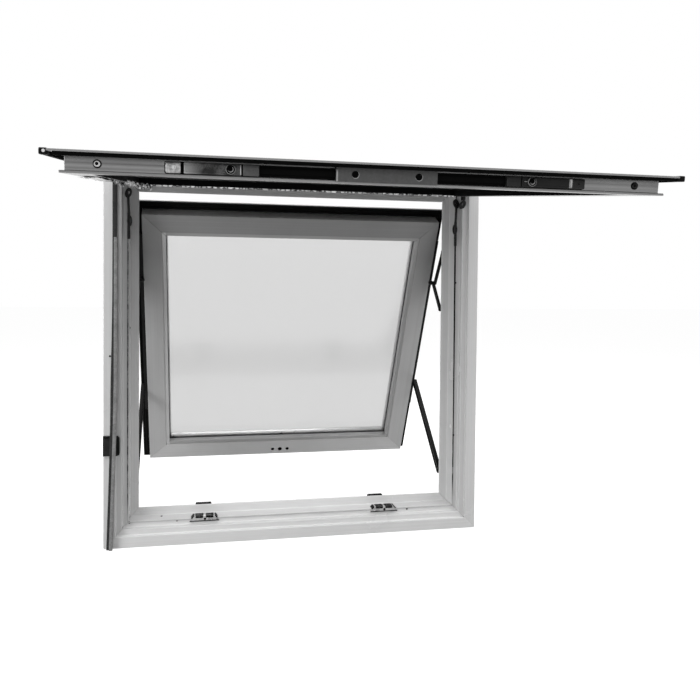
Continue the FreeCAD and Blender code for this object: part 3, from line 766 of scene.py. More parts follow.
YARN = MouldedRubber("black_coated_fly_mesh", "#0a0a0a", 0.0, 0.6, 0.1, bloom_tone="#121212")
# The frame's seal is paler below a level, on the sill, and dark on the jambs above it.
PALE_FOOTED_SEAL = MouldedRubber("black_epdm_rubber_pale_at_foot", "#303030", 0.0, 0.7, 0.15, bloom_tone="#c2c2c2",
                           pale_level=62.0)
# Its black is the lock rods' own, and on the groove's liner painted shade inside the groove.
GROOVE = MouldedRubber("black_lock_rods_and_painted_groove_shade", "#070707", 0.0, 0.55, 0.04, bloom_tone="#0b0b0b")
FILM = CreasedFilm("silvered_polythene_film", "#f2f2f2", 0.55, 0.2)
PANE = FloatGlass("satin_etched_float_glass", "#eaeaea", 0.0, 0.12)


# Sub-assemblies

def settle(piece: Piece, place: Place, finish: Finish, slot: str, *stands_for: str) -> None:
    """Puts a finished piece at its place in the row frame, dresses it and hands it to the frame.

    Args:
        piece: The piece, modelled in its place's own millimetres.
        place: The frame it was modelled in.
        finish: Its finish.
        slot: The record's material slot; not used.
        stands_for: Names of the CAD nodes that it replaces.
    """
    take_up(piece)
    piece.matrix_world = place.matrix()
    apply_place()
    bpy.ops.object.shade_smooth_by_angle(angle=math.radians(SMOOTH_ANGLE))
    finish.dress(piece)
    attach(piece, "root")
    if stands_for:
        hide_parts(*stands_for)
    log.info("%s: %d faces", piece.name, len(piece.data.polygons))


def dress_nodes(finish: Finish, *names: str, edge: float = 0.0) -> None:
    """Gives CAD nodes a finish, and broken edges where they have them.

    Args:
        finish: The finish.
        names: Names of the nodes.
        edge: Width of the broken edges in mm, or 0 for none.
    """
    for name in names:
        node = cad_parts[name]
        finish.dress(node)
        if edge:
            add_modifier(node, "WELD", merge_threshold=WELD_GAP * MM)
            add_modifier(node, "BEVEL", width=edge * MM, segments=2, limit_method="ANGLE",
                         angle_limit=math.radians(BREAK_ANGLE), use_clamp_overlap=True)
        log.info("%s: %s", name, finish.name)


@dataclass
class OuterFrame:
    """The fixed frame with its seal, its keeps and the slim rod on the left jamb. Sizes and places in mm."""

    edge: float = 1.7
    keep_offset: float = 220.0
    keep_shift: float = -2.0
    keep_base: float = 66.0
    keep_top: float = 47.0
    keep_levels: Span = (47.5, 60.0)
    keep_depths: Span = (-34.0, -13.0)
    keep_edge: float = 1.5
    keep_hollow: Block = Block((-60.0, -32.4, 40.0), (60.0, 0.0, 54.0))
    keep_eye: Disc = Disc((1.0, -34.0, 52.2), 3.2, 20.0, Run.THROUGH, 20)
    seat_over: float = 3.2
    seat_back: float = 1.0
    seat_drop: float = 0.6
    seat_foot: Block = Block((-60.0, -34.0, 40.0), (60.0, 0.0, 53.6))
    # Black pads over the slots and a disc at the back of the hole are painted shade; the last block is a lip.
    seat_parts: tuple[Block | Disc, ...] = (
        Block((-21.5, -33.2, 57.5), (-2.5, -14.0, 60.35), 1.2, run=Run.UPRIGHT),
        Block((-21.0, -34.3, 54.8), (-3.0, -32.0, 59.4), 0.8, run=Run.THROUGH),
        Block((3.0, -33.2, 57.5), (21.5, -14.0, 60.35), 1.2, run=Run.UPRIGHT),
        Block((3.5, -34.3, 54.8), (21.0, -32.0, 59.4), 0.8, run=Run.THROUGH),
        Disc((1.0, -31.0, 52.2), 3.3, 4.0, Run.THROUGH, 20, ((0.4, -0.3),)),
        Block((-34.5, -34.6, 46.6), (34.5, -32.4, 48.9), 0.5))
    outer_keep: Block = Block((-20.0, 18.5, 54.0), (20.0, 32.5, 74.8))
    outer_keep_top: Spot = (0.94, 0.8, 1.0)
    outer_keep_recess: Span = (3.0, -2.0)
    outer_keep_places: Span = (-223.8, 208.2)
    clip: Block = Block((-450.0, -58.5, 215.0), (-413.5, -52.5, 261.0))
    clip_chamfer: float = 5.0
    clip_edge: float = 0.6
    clip_ridge: Block = Block((-449.5, -60.5, 255.5), (-436.5, -57.5, 260.0), 0.9)
    clip_cheek: Block = Block((-417.5, -62.0, 217.0), (-413.6, -57.5, 259.0), 1.5, 1)
    bar: Strip = Strip(((-437.2, -61.4, 0.3), (-433.4, -61.4, 116.0), (-430.6, -61.4, 208.0),
                        (-428.7, -61.4, 299.0), (-427.7, -61.4, 390.0), (-425.8, -61.4, 480.0),
                        (-424.4, -61.4, 571.0), (-423.9, -61.4, 706.0), (-423.9, -61.4, 850.0)), 5.0, 2.8)
    sleeve: Strip = Strip(((-432.2, -66.4, 0.3), (-428.2, -66.4, 116.0), (-425.4, -66.4, 208.0),
                           (-423.1, -66.4, 299.0), (-421.5, -66.4, 390.0), (-421.4, -66.4, 571.0),
                           (-421.2, -66.4, 713.0)), 4.0, 5.8)
    sleeve_mouth: Steps = ((1.2, 0.0), (0.02, -3.0))
    rod_edge: float = 0.9
    seal_lip: Block = Block((394.5, -32.9, 300.0), (398.4, -30.4, 713.0))
    seal_tail: Spot = (1.6, 0.0, -150.0)
    seal_tail_size: Spot = (0.5, 1.0, 1.0)
    seal_tail_about: Spot = (396.4, -31.0, 300.0)
    seal_edge: float = 0.6
    screw_size: Span = (2.4, 1.6)
    screw_sides: int = 16
    screw_steps: Steps = ((0.6, 0.3), (0.7, -0.6))
    screws: tuple[tuple[Spot, Run, int], ...] = (
        ((-322.4, -2.5, 54.0), Run.UPRIGHT, 1), ((-285.8, -30.5, 51.1), Run.THROUGH, -1),
        ((278.0, -30.5, 49.5), Run.THROUGH, -1), ((-396.0, 2.0, 504.8), Run.ACROSS, 1),
        ((398.9, -30.5, 618.8), Run.THROUGH, -1), ((398.5, -30.5, 232.0), Run.THROUGH, -1),
        ((-394.0, -30.5, 51.6), Run.THROUGH, -1), ((-435.0, -52.5, 443.0), Run.THROUGH, -1))

    def build(self) -> None:
        """Dresses the frame's members and models what is fixed to them."""
        dress_nodes(FRAME_HEAD, "frame_head", edge=self.edge)
        dress_nodes(FRAME_SILL, "frame_sill", edge=self.edge)
        dress_nodes(FRAME_UPRIGHT, "frame_left_jamb", "frame_right_jamb", edge=self.edge)
        dress_nodes(PALE_FOOTED_SEAL, "frame_seal")
        for side in Side:
            self.cast_keep(side)
        self.mould_outer_keeps()
        self.mould_clip()
        self.draw_rod()
        self.drive_screws()
        self.tuck_seal()

    def taper(self, name: str, x: float, over: float) -> Piece:
        """Models a block that tapers to its top, as wide as a keep.

        Args:
            name: Name of the piece.
            x: Its middle in mm.
            over: How far it stands over a keep's ends in mm.

        Returns:
            The block.
        """
        low, high = self.keep_levels
        front, back = self.keep_depths
        half = self.keep_base / 2 + over
        block = Block((-half, front, low), (half, back, high)).model(name, x)
        narrowing = (self.keep_top / 2 + over) / half
        shift_faces(block, facing(z=1.0), size=(narrowing, 1.0, 1.0), about=(x, front, low))
        return block

    def cast_keep(self, side: Side) -> None:
        """Models one tapered keep on the sill, and its dark parts: a seat and a lip, with black pads and a
        disc as painted shade in the slots and at the hole's bottom.

        Args:
            side: Side of the window.
        """
        where = side.name.lower()
        x = side.value * self.keep_offset + self.keep_shift
        keep = self.taper("keep_" + where, x, 0.0)
        round_edges(keep, self.keep_edge)
        cut_with(keep, self.keep_hollow.model(x=x), self.keep_eye.model(x=x))
        settle(keep, HOME, KEEP, "keep_zinc", "sill_keep_" + where)
        seat = self.taper("seat", x, self.seat_over)
        shift_faces(seat, facing(y=-1.0), move=(0.0, self.seat_back, 0.0))
        shift_faces(seat, facing(z=1.0), move=(0.0, 0.0, -self.seat_drop))
        cut_with(seat, self.seat_foot.model(x=x))
        parts = [part.model(x=x) for part in self.seat_parts]
        settle(join_pieces("keep_seat_" + where, [seat, *parts]), HOME, NYLON, "clip_black")

    def mould_outer_keeps(self) -> None:
        """Models the two upright keeps behind the fin, with a ramp on top."""
        first = self.outer_keep.model()
        about = (0.0, self.outer_keep.low[1], self.outer_keep.high[2])
        shift_faces(first, facing(z=1.0), size=self.outer_keep_top, about=about)
        round_edges(first, self.keep_edge)
        push_faces(first, facing(y=1.0), self.outer_keep_recess)
        pair = [copy_piece(first, "outer_keep", (x, 0.0, 0.0)) for x in self.outer_keep_places]
        bpy.data.objects.remove(first, do_unlink=True)
        settle(join_pieces("outer_keep_pair", pair), HOME, NYLON, "clip_black", "outer_keeps")

    def mould_clip(self) -> None:
        """Models the clip behind the rod: a plate with a ridge on top and a chamfered cheek on the right."""
        plate = self.clip.model("rod_clip_body")
        middle = (self.clip.low[0] + self.clip.high[0]) / 2
        through = running(Run.THROUGH)
        round_edges(plate, self.clip_chamfer, 1, lambda a, b: through(a, b) and min(a.x, b.x) > middle)
        round_edges(plate, self.clip_edge)
        ridge = [self.clip_ridge.model(), self.clip_cheek.model()]
        settle(plate, HOME, CLIP, "clip_black", "rod_clip")
        settle(join_pieces("clip_ridge", ridge), HOME, NYLON, "clip_black")

    def draw_rod(self) -> None:
        """Models the bowed rod: a black bar behind, and a grey sleeve that slides on its lower part."""
        bar = self.bar.model("rod_bar")
        sleeve = self.sleeve.model("rod_sleeve")
        for strip in (bar, sleeve):
            round_edges(strip, self.rod_edge, test=running(Run.UPRIGHT))
        push_faces(sleeve, facing(z=1.0), *self.sleeve_mouth)
        settle(sleeve, HOME, ROD, "rod_grey", "side_rod")
        # The bar's black, where it shows beside and above the sleeve, is partly painted shade under the
        # screen.
        settle(bar, HOME, BAR, "rod_grey")

    def tuck_seal(self) -> None:
        """Models the lip of the seal that stands out over the right shelf, from the hinge down."""
        lip = self.seal_lip.model("seal_lip")
        shift_faces(lip, facing(z=-1.0), self.seal_tail, self.seal_tail_size, self.seal_tail_about)
        round_edges(lip, self.seal_edge, test=running(Run.UPRIGHT))
        settle(lip, HOME, SEAL, "black_seal")

    def drive_screws(self) -> None:
        """Drives small dark screws into the sill, the jambs and the rim."""
        heads = [Disc(middle, *self.screw_size, run, self.screw_sides, self.screw_steps, way).model()
                 for middle, run, way in self.screws]
        settle(join_pieces("frame_screws", heads), HOME, BAR, "keep_zinc")


@dataclass
class GlassSash:
    """The glass sash with its beads, pane and seal. Sizes in mm."""

    edge: float = 0.8
    half_width: float = 371.5
    height: float = 743.0
    pane_inset: float = 48.0
    pane_edge: float = 0.4
    sheets: tuple[Span, ...] = ((20.0, 24.0), (38.0, 42.0))
    spacer: tuple[float, float, Span, float] = (48.5, 10.5, (24.0, 38.0), 0.6)
    gasket: tuple[float, float, Span, float] = (54.4, 1.8, (18.4, 20.0), 0.4)
    # The first row is a wide black base strip over the flange: rubber, and painted shade on the flange face
    # too.
    fins: tuple[tuple[float, float, Span, float], ...] = (
        (-19.4, 18.3, (38.4, 40.0), 0.5), (-19.2, 4.6, (35.2, 40.0), 1.4),
        (-12.8, 4.6, (35.6, 40.0), 1.4), (-6.2, 4.8, (35.0, 40.0), 1.4))
    cup: tuple[float, Run, int, Steps] = (28.0, Run.THROUGH, 32, ((0.5, 0.0), (0.02, -26.0)))
    holes: tuple[tuple[Spot, float], ...] = (
        ((-21.5, 14.3, -726.5), 4.9), ((0.0, 14.3, -726.5), 5.9), ((21.5, 14.3, -726.5), 4.9))

    def build(self) -> None:
        """Dresses the sash's rails and models the pane, its spacer, the seals and the handle's holes."""
        dress_nodes(SASH_TOP, "sash_top_rail", edge=self.edge)
        dress_nodes(SASH_ACROSS, "sash_bottom_rail", edge=self.edge)
        dress_nodes(SASH_UPRIGHT, "sash_left_stile", "sash_right_stile", edge=self.edge)
        dress_nodes(BEAD, "glazing_beads", edge=self.edge)
        self.glaze()
        self.fold_seal()
        self.line_holes()

    def bars(self, name: str, inset: float, width: float, depths: Span, edge: float) -> Piece:
        """Models a ring of bars round the sash, inset from its edge, or outside it where that is negative."""
        return ring_of_bars(name, self.half_width - inset, inset - self.height, -inset, width, depths, edge)

    def glaze(self) -> None:
        """Models the sealed pane: two sheets of glass, the spacer bar between them and the gasket."""
        half = self.half_width - self.pane_inset
        foot = self.pane_inset - self.height
        sheets = [Block((-half, front, foot), (half, back, -self.pane_inset), self.pane_edge, 1).model()
                  for front, back in self.sheets]
        settle(join_pieces("glass_sheets", sheets), SASH, PANE, "glass", "glass_pane")
        settle(self.bars("glass_spacer", *self.spacer), SASH, SPACER, "glass")
        settle(self.bars("glazing_gasket", *self.gasket), SASH, SEAL, "black_seal")

    def fold_seal(self) -> None:
        """Models the flange's seal: a base strip with three soft fins."""
        fins = [self.bars("fin", *fin) for fin in self.fins]
        settle(join_pieces("sash_seal_fins", fins), SASH, SEAL, "black_seal", "sash_seal")

    def line_holes(self) -> None:
        """Models black cups in the three holes for a handle, as painted shade inside the holes."""
        cups = [Disc(middle, radius, *self.cup).model() for middle, radius in self.holes]
        settle(join_pieces("handle_cups_painted_shade", cups), SASH, NYLON, "clip_black")


@dataclass
class FrictionStays:
    """The black stays on both sides of the glass sash. Sizes and places in mm."""

    edge: float = 0.5
    rivet_length: float = 1.6
    rivet_sink: float = 0.4
    rivet_sides: int = 20
    # Borders of the dome's steps as shares of its radius, and rises in mm.
    rivet_steps: Steps = ((0.35, 0.7), (0.3, 0.3))
    rivets: tuple[tuple[Spot, float], ...] = (
        ((379.5, 258.9, 331.3), 4.2), ((379.5, 35.5, 126.0), 4.2), ((371.5, 95.6, 618.9), 3.6),
        ((379.5, 35.5, 549.5), 3.6), ((385.0, 35.5, 700.0), 3.6))

    def build(self) -> None:
        """Dresses the stays and models domed rivet heads on the inner faces of the arms."""
        for side in Side:
            names = ("stay_track", "sash_bar", "stay_long_arm", "stay_short_arm", "stay_upper_link")
            dress_nodes(STAY, *(name + "_" + side.name.lower() for name in names), edge=self.edge)
        dress_nodes(KEEP, "stay_pins")
        heads = [self.dome(side, *rivet) for side in Side for rivet in self.rivets]
        settle(join_pieces("stay_rivets", heads), HOME, STAY, "stay_black")

    def dome(self, side: Side, place: Spot, radius: float) -> Piece:
        """Models one domed head on a face that looks to the window's middle.

        Args:
            side: Side of the window.
            place: The face's distance from the middle, and the pivot's depth and level, in mm.
            radius: Radius of the head in mm.

        Returns:
            The head.
        """
        middle = (side.value * (place[0] - self.rivet_sink), *place[1:])
        steps = tuple((radius * share, rise) for share, rise in self.rivet_steps)
        shape = (self.rivet_length, Run.ACROSS, self.rivet_sides, steps, -side.value)
        return Disc(middle, radius, *shape).model()


@dataclass
class ScreenSash:
    """The fly screen sash with its rails, mesh, seal, corner caps and hinges. Sizes and places in mm."""

    edge: float = 0.6
    seal_edge: float = 0.8
    half_width: float = 421.0
    free_edge: float = -832.0
    top_edge: float = -1.0
    rail: float = 52.0
    mesh_depth: float = 10.5
    wire: float = 0.8
    pitch: float = 2.0
    retainer: tuple[float, Span, float] = (0.9, (11.2, 26.4), 0.2)
    cap_width: float = 9.0
    cap_over: float = 0.6
    cap_lead: float = 0.06
    cap_height: float = 14.0
    cap_depths: Span = (-0.7, 7.3)
    cap_edge: float = 1.4
    cap_pin: Disc = Disc((-416.0, 2.8, -831.9), 1.9, 0.4, sides=20, steps=((0.5, -0.02),))
    screw_offset: float = 359.6
    screw_well: Disc = Disc((0.0, 14.7, -808.7), 5.3, 0.8, steps=((1.2, -0.5),))
    screw_head: Disc = Disc((0.0, 14.7, -809.0), 3.8, 1.6, steps=((0.5, 0.4),))
    screw_socket: Disc = Disc((-0.4, 14.4, -810.2), 2.3, 0.3, sides=6, steps=((0.3, -0.05),))
    # Strips of film, each with the cuts of its edges and the depth of its creases.
    films: tuple[tuple[str, Block | Strip, int, float], ...] = (
        ("film_edge", Block((-368.0, 25.2, -54.9), (368.0, 28.6, -54.5)), 120, 0.5),
        ("film_ribbon", Strip(((-372.0, 21.0, -500.0), (-369.0, 22.0, -350.0), (-364.0, 23.0, -200.0),
                               (-356.0, 24.0, -100.0), (-342.0, 25.0, -50.0)), 0.15, 13.0), 12, 9.0),
        ("film_patch", Block((-402.0, 28.2, -680.0), (-374.0, 28.5, -395.0)), 14, 5.0))
    film_cell: float = 8.0
    crease_scale: float = 0.018
    strap: Block = Block((392.4, -36.6, 711.5), (399.0, -32.2, 772.0), 0.9)
    knuckle: Disc = Disc((394.0, -34.6, 753.0), 5.6, 5.4, Run.THROUGH, 24, ((1.6, 0.5), (1.2, -0.6)))
    knuckle_size: Spot = (1.0, 1.0, 2.4)
    arm: Block = Block((392.6, -37.2, 768.0), (398.4, -33.0, 812.0))
    arm_lean: Spot = (1.6, 0.0, 0.0)
    arm_edge: float = 0.9
    # Radius, length and sides of an eye and of its hole.
    eye_stock: tuple[tuple[float, float, int], ...] = ((8.6, 4.0, 28), (3.0, 10.0, 24))
    eye_size: Spot = (0.85, 1.0, 1.35)
    first_eye: tuple[Spot, float] = ((396.4, -35.0, 817.0), -18.0)
    second_eye: tuple[Spot, float] = ((408.6, -48.0, 814.0), 28.0)
    tab: Block = Block((404.0, -60.0, 824.0), (412.0, -46.4, 836.0), 0.8)

    def build(self) -> None:
        """Dresses the screen's rails and models its mesh, caps, screws, hinges and the film left on it."""
        dress_nodes(SCREEN_ACROSS, "screen_bottom_rail", "screen_top_rail", edge=self.edge)
        dress_nodes(SCREEN_UPRIGHT, "screen_left_stile", "screen_right_stile", edge=self.edge)
        dress_nodes(RETAINER, "screen_seal", edge=self.seal_edge)
        self.string_mesh()
        self.cap_corners()
        self.drive_screws()
        for film in self.films:
            self.hang_film(*film)
        self.forge_hinges()

    def string_mesh(self) -> None:
        """Strings the fly mesh, wires across on top of wires along, and models the strip that holds it."""
        half = self.half_width - self.rail
        low, high = self.free_edge + self.rail, self.top_edge - self.rail
        margin = self.wire / 2
        start = self.pitch / 2
        along = Disc((start - half, self.mesh_depth + margin, (low + high) / 2), margin, high - low,
                     Run.UPRIGHT, 4).model()
        repeat_piece(along, int((2 * half - self.pitch) / self.pitch) + 1, (self.pitch, 0.0, 0.0))
        across = Disc((0.0, self.mesh_depth - margin, low + start), margin, 2 * half, Run.ACROSS, 4).model()
        repeat_piece(across, int((high - low - self.pitch) / self.pitch) + 1, (0.0, 0.0, self.pitch))
        settle(join_pieces("fly_mesh", [along, across]), SCREEN, YARN, "screen_mesh", "screen_mesh")
        # The black strip is the mesh's retaining spline; its black also stands for shade on the rails' inner
        # walls.
        settle(ring_of_bars("mesh_retainer", half, low, high, *self.retainer), SCREEN, RETAINER, "black_seal")

    def cap_corners(self) -> None:
        """Models the moulded caps that wrap the flange's corners, and the bright pin in one of them."""
        front, back = self.cap_depths
        caps = []
        for side in Side:
            for edge, way in ((self.free_edge, 1), (self.top_edge, -1)):
                x = side.value * self.half_width
                z = edge - way * self.cap_lead
                near, far = sorted((x - side.value * self.cap_width, x + side.value * self.cap_over))
                low, high = sorted((z, z + way * self.cap_height))
                caps.append(Block((near, front, low), (far, back, high), self.cap_edge, 3).model())
        settle(join_pieces("screen_caps", caps), SCREEN, NYLON, "clip_black", "screen_corner_caps")
        settle(self.cap_pin.model("cap_pin"), SCREEN, BRIGHT, "lock_bright")

    def drive_screws(self) -> None:
        """Models the two socket screws of the free rail, each in a black well with a black socket that paint
        the shade round and inside the head.
        """
        wells = []
        # The left head is a bright copy and the right one a dark copy: painted light and painted shade.
        for side, finish in ((Side.LEFT, BRIGHT), (Side.RIGHT, BLOCK_PAINTED_SHADE)):
            x = side.value * self.screw_offset
            wells.append(self.screw_well.model(x=x))
            head = self.screw_head.model("rail_screw_" + side.name.lower(), x)
            settle(head, SCREEN, finish, "lock_bright")
            wells.append(self.screw_socket.model(x=x))
        settle(join_pieces("screw_wells_painted_shade", wells), SCREEN, NYLON, "lock_dark")

    def hang_film(self, name: str, strip: Block | Strip, cuts: int, depth: float) -> None:
        """Models one strip of the plain film left on the screen, crumpled by a fixed cloud pattern.

        Args:
            name: Name of the piece.
            strip: Its flat shape.
            cuts: Number of cuts of each edge.
            depth: Depth of the creases in mm.
        """
        film = strip.model(name)
        with editing(film, edges=lambda a, b: (a - b).length > self.film_cell):
            bpy.ops.mesh.subdivide(number_cuts=cuts)
        clouds = bpy.data.textures.new("crease_clouds", "CLOUDS")
        clouds.noise_scale = self.crease_scale
        clouds.noise_depth = 2
        apply_modifier(film, "DISPLACE", texture=clouds, direction="RGB_TO_XYZ", strength=depth * MM,
                       mid_level=0.5)
        settle(film, SCREEN, FILM, "glass")

    def forge_hinges(self) -> None:
        """Models the two hinges: strap, knuckle, arm and eye on both sides, and a second eye on the right."""
        strap = self.strap.model()
        knuckle = self.knuckle.model()
        shift_faces(knuckle, everything, size=self.knuckle_size, about=self.knuckle.middle)
        arm = self.arm.model()
        shift_faces(arm, facing(z=1.0), move=self.arm_lean)
        round_edges(arm, self.arm_edge)
        right = join_pieces("screen_hinge_arm_right", [strap, knuckle, arm, self.eye(*self.first_eye)])
        left = copy_piece(right, "screen_hinge_arm_left", mirrored=True)
        right = join_pieces(right.name, [right, self.eye(*self.second_eye), self.tab.model()])
        settle(right, HOME, STAY, "stay_black", "screen_hinge_right")
        settle(left, HOME, STAY, "stay_black", "screen_hinge_left")

    def eye(self, middle: Spot, degrees: float) -> Piece:
        """Models one oval eye of a hinge, with its hole.

        Args:
            middle: Its middle in mm.
            degrees: How far it leans over.

        Returns:
            The eye.
        """
        eye, hole = [Disc(middle, radius, length, Run.THROUGH, sides).model()
                     for radius, length, sides in self.eye_stock]
        cut_with(eye, hole)
        shift_faces(eye, everything, size=self.eye_size, about=middle)
        with editing(eye):
            bpy.ops.transform.rotate(value=-math.radians(degrees), orient_axis="Y",
                                     center_override=in_metres(middle))
        return eye


@dataclass
class LockGear:
    """The lock gear in the groove of the screen's free rail. Sizes and places in mm."""

    web: float = -808.5
    depths: Span = (8.6, 22.4)
    liner: Block = Block((-280.9, 8.0, -808.85), (280.9, 23.0, -808.4), 2.0, 3, Run.UPRIGHT)
    hole_offset: float = 42.5
    eyelet: Disc = Disc((0.0, 15.5, -817.0), 4.9, 0.6, sides=36, steps=((0.3, 0.1),))
    hole_shade_disc: Disc = Disc((-0.5, 15.2, -817.5), 4.5, 0.4, sides=36, steps=((0.4, -0.1),))
    painted_gear_end_highlight: Block = Block((-67.7, 6.6, -817.15), (-65.4, 24.4, -816.5), 0.2)
    case: Span = (187.0, 257.5)
    # A shape is a height, the rounding of its edges and the facets across it.
    case_shape: tuple[float, float, int] = (7.0, 0.9, 2)
    case_panel: Steps = ((1.4, 0.0), (0.3, -0.4))
    inner_block: Span = (165.5, 185.5)
    end_block: Span = (261.0, 279.5)
    inner_shape: tuple[float, float, int] = (8.0, 0.8, 3)
    end_shape: tuple[float, float, int] = (8.0, 1.6, 3)
    inner_mark: Block = Block((-6.5, 15.1, -817.5), (6.5, 15.9, -816.0))
    end_mark: Disc = Disc((0.0, 15.0, -816.5), 2.8, 2.6, sides=24)
    end_mark_size: Spot = (0.4, 0.4, 1.0)
    rib: Block = Block((-188.9, 9.6, -816.1), (-188.0, 21.4, -809.0), 0.4)
    painted_mark_ring: Disc = Disc((-269.4, 15.2, -816.5), 2.6, 0.5, sides=24, steps=((0.5, 0.1), (0.5, -0.5)))
    painted_sliver: Block = Block((256.4, 9.4, -815.7), (261.0, 21.6, -809.0))
    painted_sliver_panel: Steps = ((0.8, 0.0), (0.4, -0.6))
    painted_sliver_edge: float = 0.3
    cam: float = 201.0
    cam_length: float = 3.0
    cam_step: Span = (0.35, 0.12)
    cam_rings: tuple[tuple[Spot, float], ...] = (((0.0, 15.2, -816.8), 6.0), ((0.0, 15.2, -817.4), 3.6))
    # Of each cam's two black discs, the inner one is painted shade inside the socket.
    cam_gaps: tuple[tuple[Spot, float], ...] = (((0.0, 15.2, -817.1), 5.5), ((-0.5, 14.8, -817.7), 3.2))
    pointer: Block = Block((190.4, 14.5, -816.7), (194.6, 15.7, -815.0), 0.4)

    def build(self) -> None:
        """Dresses the gear plate and models the groove's liner, the eyelets, the cases, blocks and cams."""
        dress_nodes(GROOVE, "lock_rods")
        dress_nodes(GEAR, "lock_gear_plate")
        # The black liner is painted shade inside the groove.
        settle(self.liner.model("groove_liner"), SCREEN, GROOVE, "lock_dark")
        self.ring_holes()
        # The left lock takes the lit copies and the right lock the shaded copies: painted light and painted
        # shade.
        self.cast_case(Side.LEFT, CASE_PAINTED_LIGHT)
        self.cast_case(Side.RIGHT, CASE_PAINTED_SHADE)
        self.cast_blocks(Side.LEFT, BLOCK_PAINTED_HIGHLIGHT, BLOCK_PAINTED_HALF_SHADE)
        self.cast_blocks(Side.RIGHT, BLOCK_PAINTED_SHADE, BLOCK_PAINTED_SHADE)
        self.press_slivers()
        self.turn_cams()

    def ring_holes(self) -> None:
        """Models the bright eyelets in the gear plate's two holes, each round a black disc as painted shade
        inside the hole, and a bright strip as painted highlight on the plate's lit left end.
        """
        eyelets, hole_shade_discs = [], []
        for side in Side:
            eyelets.append(self.eyelet.model(x=side.value * self.hole_offset))
            hole_shade_discs.append(self.hole_shade_disc.model(x=side.value * self.hole_offset))
        parts = [*eyelets, self.painted_gear_end_highlight.model()]
        settle(join_pieces("gear_eyelets", parts), SCREEN, TURNED, "lock_bright")
        settle(join_pieces("gear_hole_shade_discs", hole_shade_discs), SCREEN, RETAINER, "clip_black")

    def body(self, name: str, side: Side, reach: Span, height: float, edge: float, segments: int) -> Piece:
        """Models a rounded body that stands on the groove's web, in mm.

        Args:
            name: Name of the piece.
            side: Side of the window.
            reach: Distances of its ends from the window's middle.
            height: Its height over the web.
            edge: Rounding of its edges.
            segments: Facets across the rounding.

        Returns:
            The body.
        """
        near, far = sorted(side.value * x for x in reach)
        low, high = self.depths
        return Block((near, low, self.web - height), (far, high, self.web), edge, segments).model(name)

    def cast_case(self, side: Side, finish: Finish) -> None:
        """Models one lock case, with a sunk panel on its face.

        Args:
            side: Side of the window.
            finish: Its finish.
        """
        where = side.name.lower()
        case = self.body("lock_body_" + where, side, self.case, *self.case_shape)
        push_faces(case, facing(z=-1.0), *self.case_panel)
        settle(case, SCREEN, finish, "lock_dark", "lock_case_" + where)

    def cast_blocks(self, side: Side, end_finish: Finish, inner_finish: Finish) -> None:
        """Models the blocks at a lock's ends: the outer one with a countersunk mark, the inner with a slot.

        Args:
            side: Side of the window.
            end_finish: Finish of the outer block.
            inner_finish: Finish of the inner one.
        """
        where = side.name.lower()
        end = self.body("end_block_" + where, side, self.end_block, *self.end_shape)
        middle = side.value * sum(self.end_block) / 2
        mark = self.end_mark.model(x=middle)
        about = (middle, self.end_mark.middle[1], self.web)
        shift_faces(mark, facing(z=1.0), size=self.end_mark_size, about=about)
        cut_with(end, mark)
        settle(end, SCREEN, end_finish, "lock_bright", "lock_blocks_" + where)
        inner = self.body("inner_block_" + where, side, self.inner_block, *self.inner_shape)
        cut_with(inner, self.inner_mark.model(x=side.value * sum(self.inner_block) / 2))
        settle(inner, SCREEN, inner_finish, "lock_bright")

    def press_slivers(self) -> None:
        """Models the small parts beside the blocks: on the left a rib and a bright ring round the end block's
        mark, a painted highlight, and on the right a bright sliver in the gap, a painted highlight of the end
        block's side.
        """
        ribs = [self.rib.model(), self.painted_mark_ring.model()]
        settle(join_pieces("lock_rib", ribs), SCREEN, BRIGHT, "lock_bright")
        painted_sliver = self.painted_sliver.model("lock_painted_sliver")
        push_faces(painted_sliver, facing(z=-1.0), *self.painted_sliver_panel)
        round_edges(painted_sliver, self.painted_sliver_edge)
        settle(painted_sliver, SCREEN, TURNED, "lock_bright")

    def turn_cams(self) -> None:
        """Models the cams as turned rings, bright and dark in turn, and the pointer of the right one."""
        rings, gaps = [[Disc(middle, radius, self.cam_length, sides=40, steps=(self.cam_step,)).model(x=x)
                         for x in (-self.cam, self.cam) for middle, radius in table]
                        for table in (self.cam_rings, self.cam_gaps)]
        parts = [*rings, self.pointer.model()]
        settle(join_pieces("cam_rings", parts), SCREEN, TURNED, "lock_bright", "lock_cams")
        settle(join_pieces("cam_sockets", gaps), SCREEN, RETAINER, "clip_black")


# Studio

@dataclass(frozen=True)
class Lamp:
    """A square soft lamp: its name, place in mm, side in metres, power in watts and aim in mm."""

    name: str
    place: Spot
    size: float
    power: float
    aim: Spot = (0.0, 0.0, 350.0)

    def hang(self) -> None:
        """Hangs the lamp in the scene."""
        panel = bpy.data.lights.new(self.name, "AREA")
        panel.size = self.size
        panel.energy = self.power
        lamp = bpy.data.objects.new(self.name, panel)
        lamp.location = Vector(self.place) * MM
        lamp.rotation_euler = ((Vector(self.aim) - Vector(self.place)).to_track_quat("-Z", "Y")).to_euler()
        bpy.context.scene.collection.objects.link(lamp)


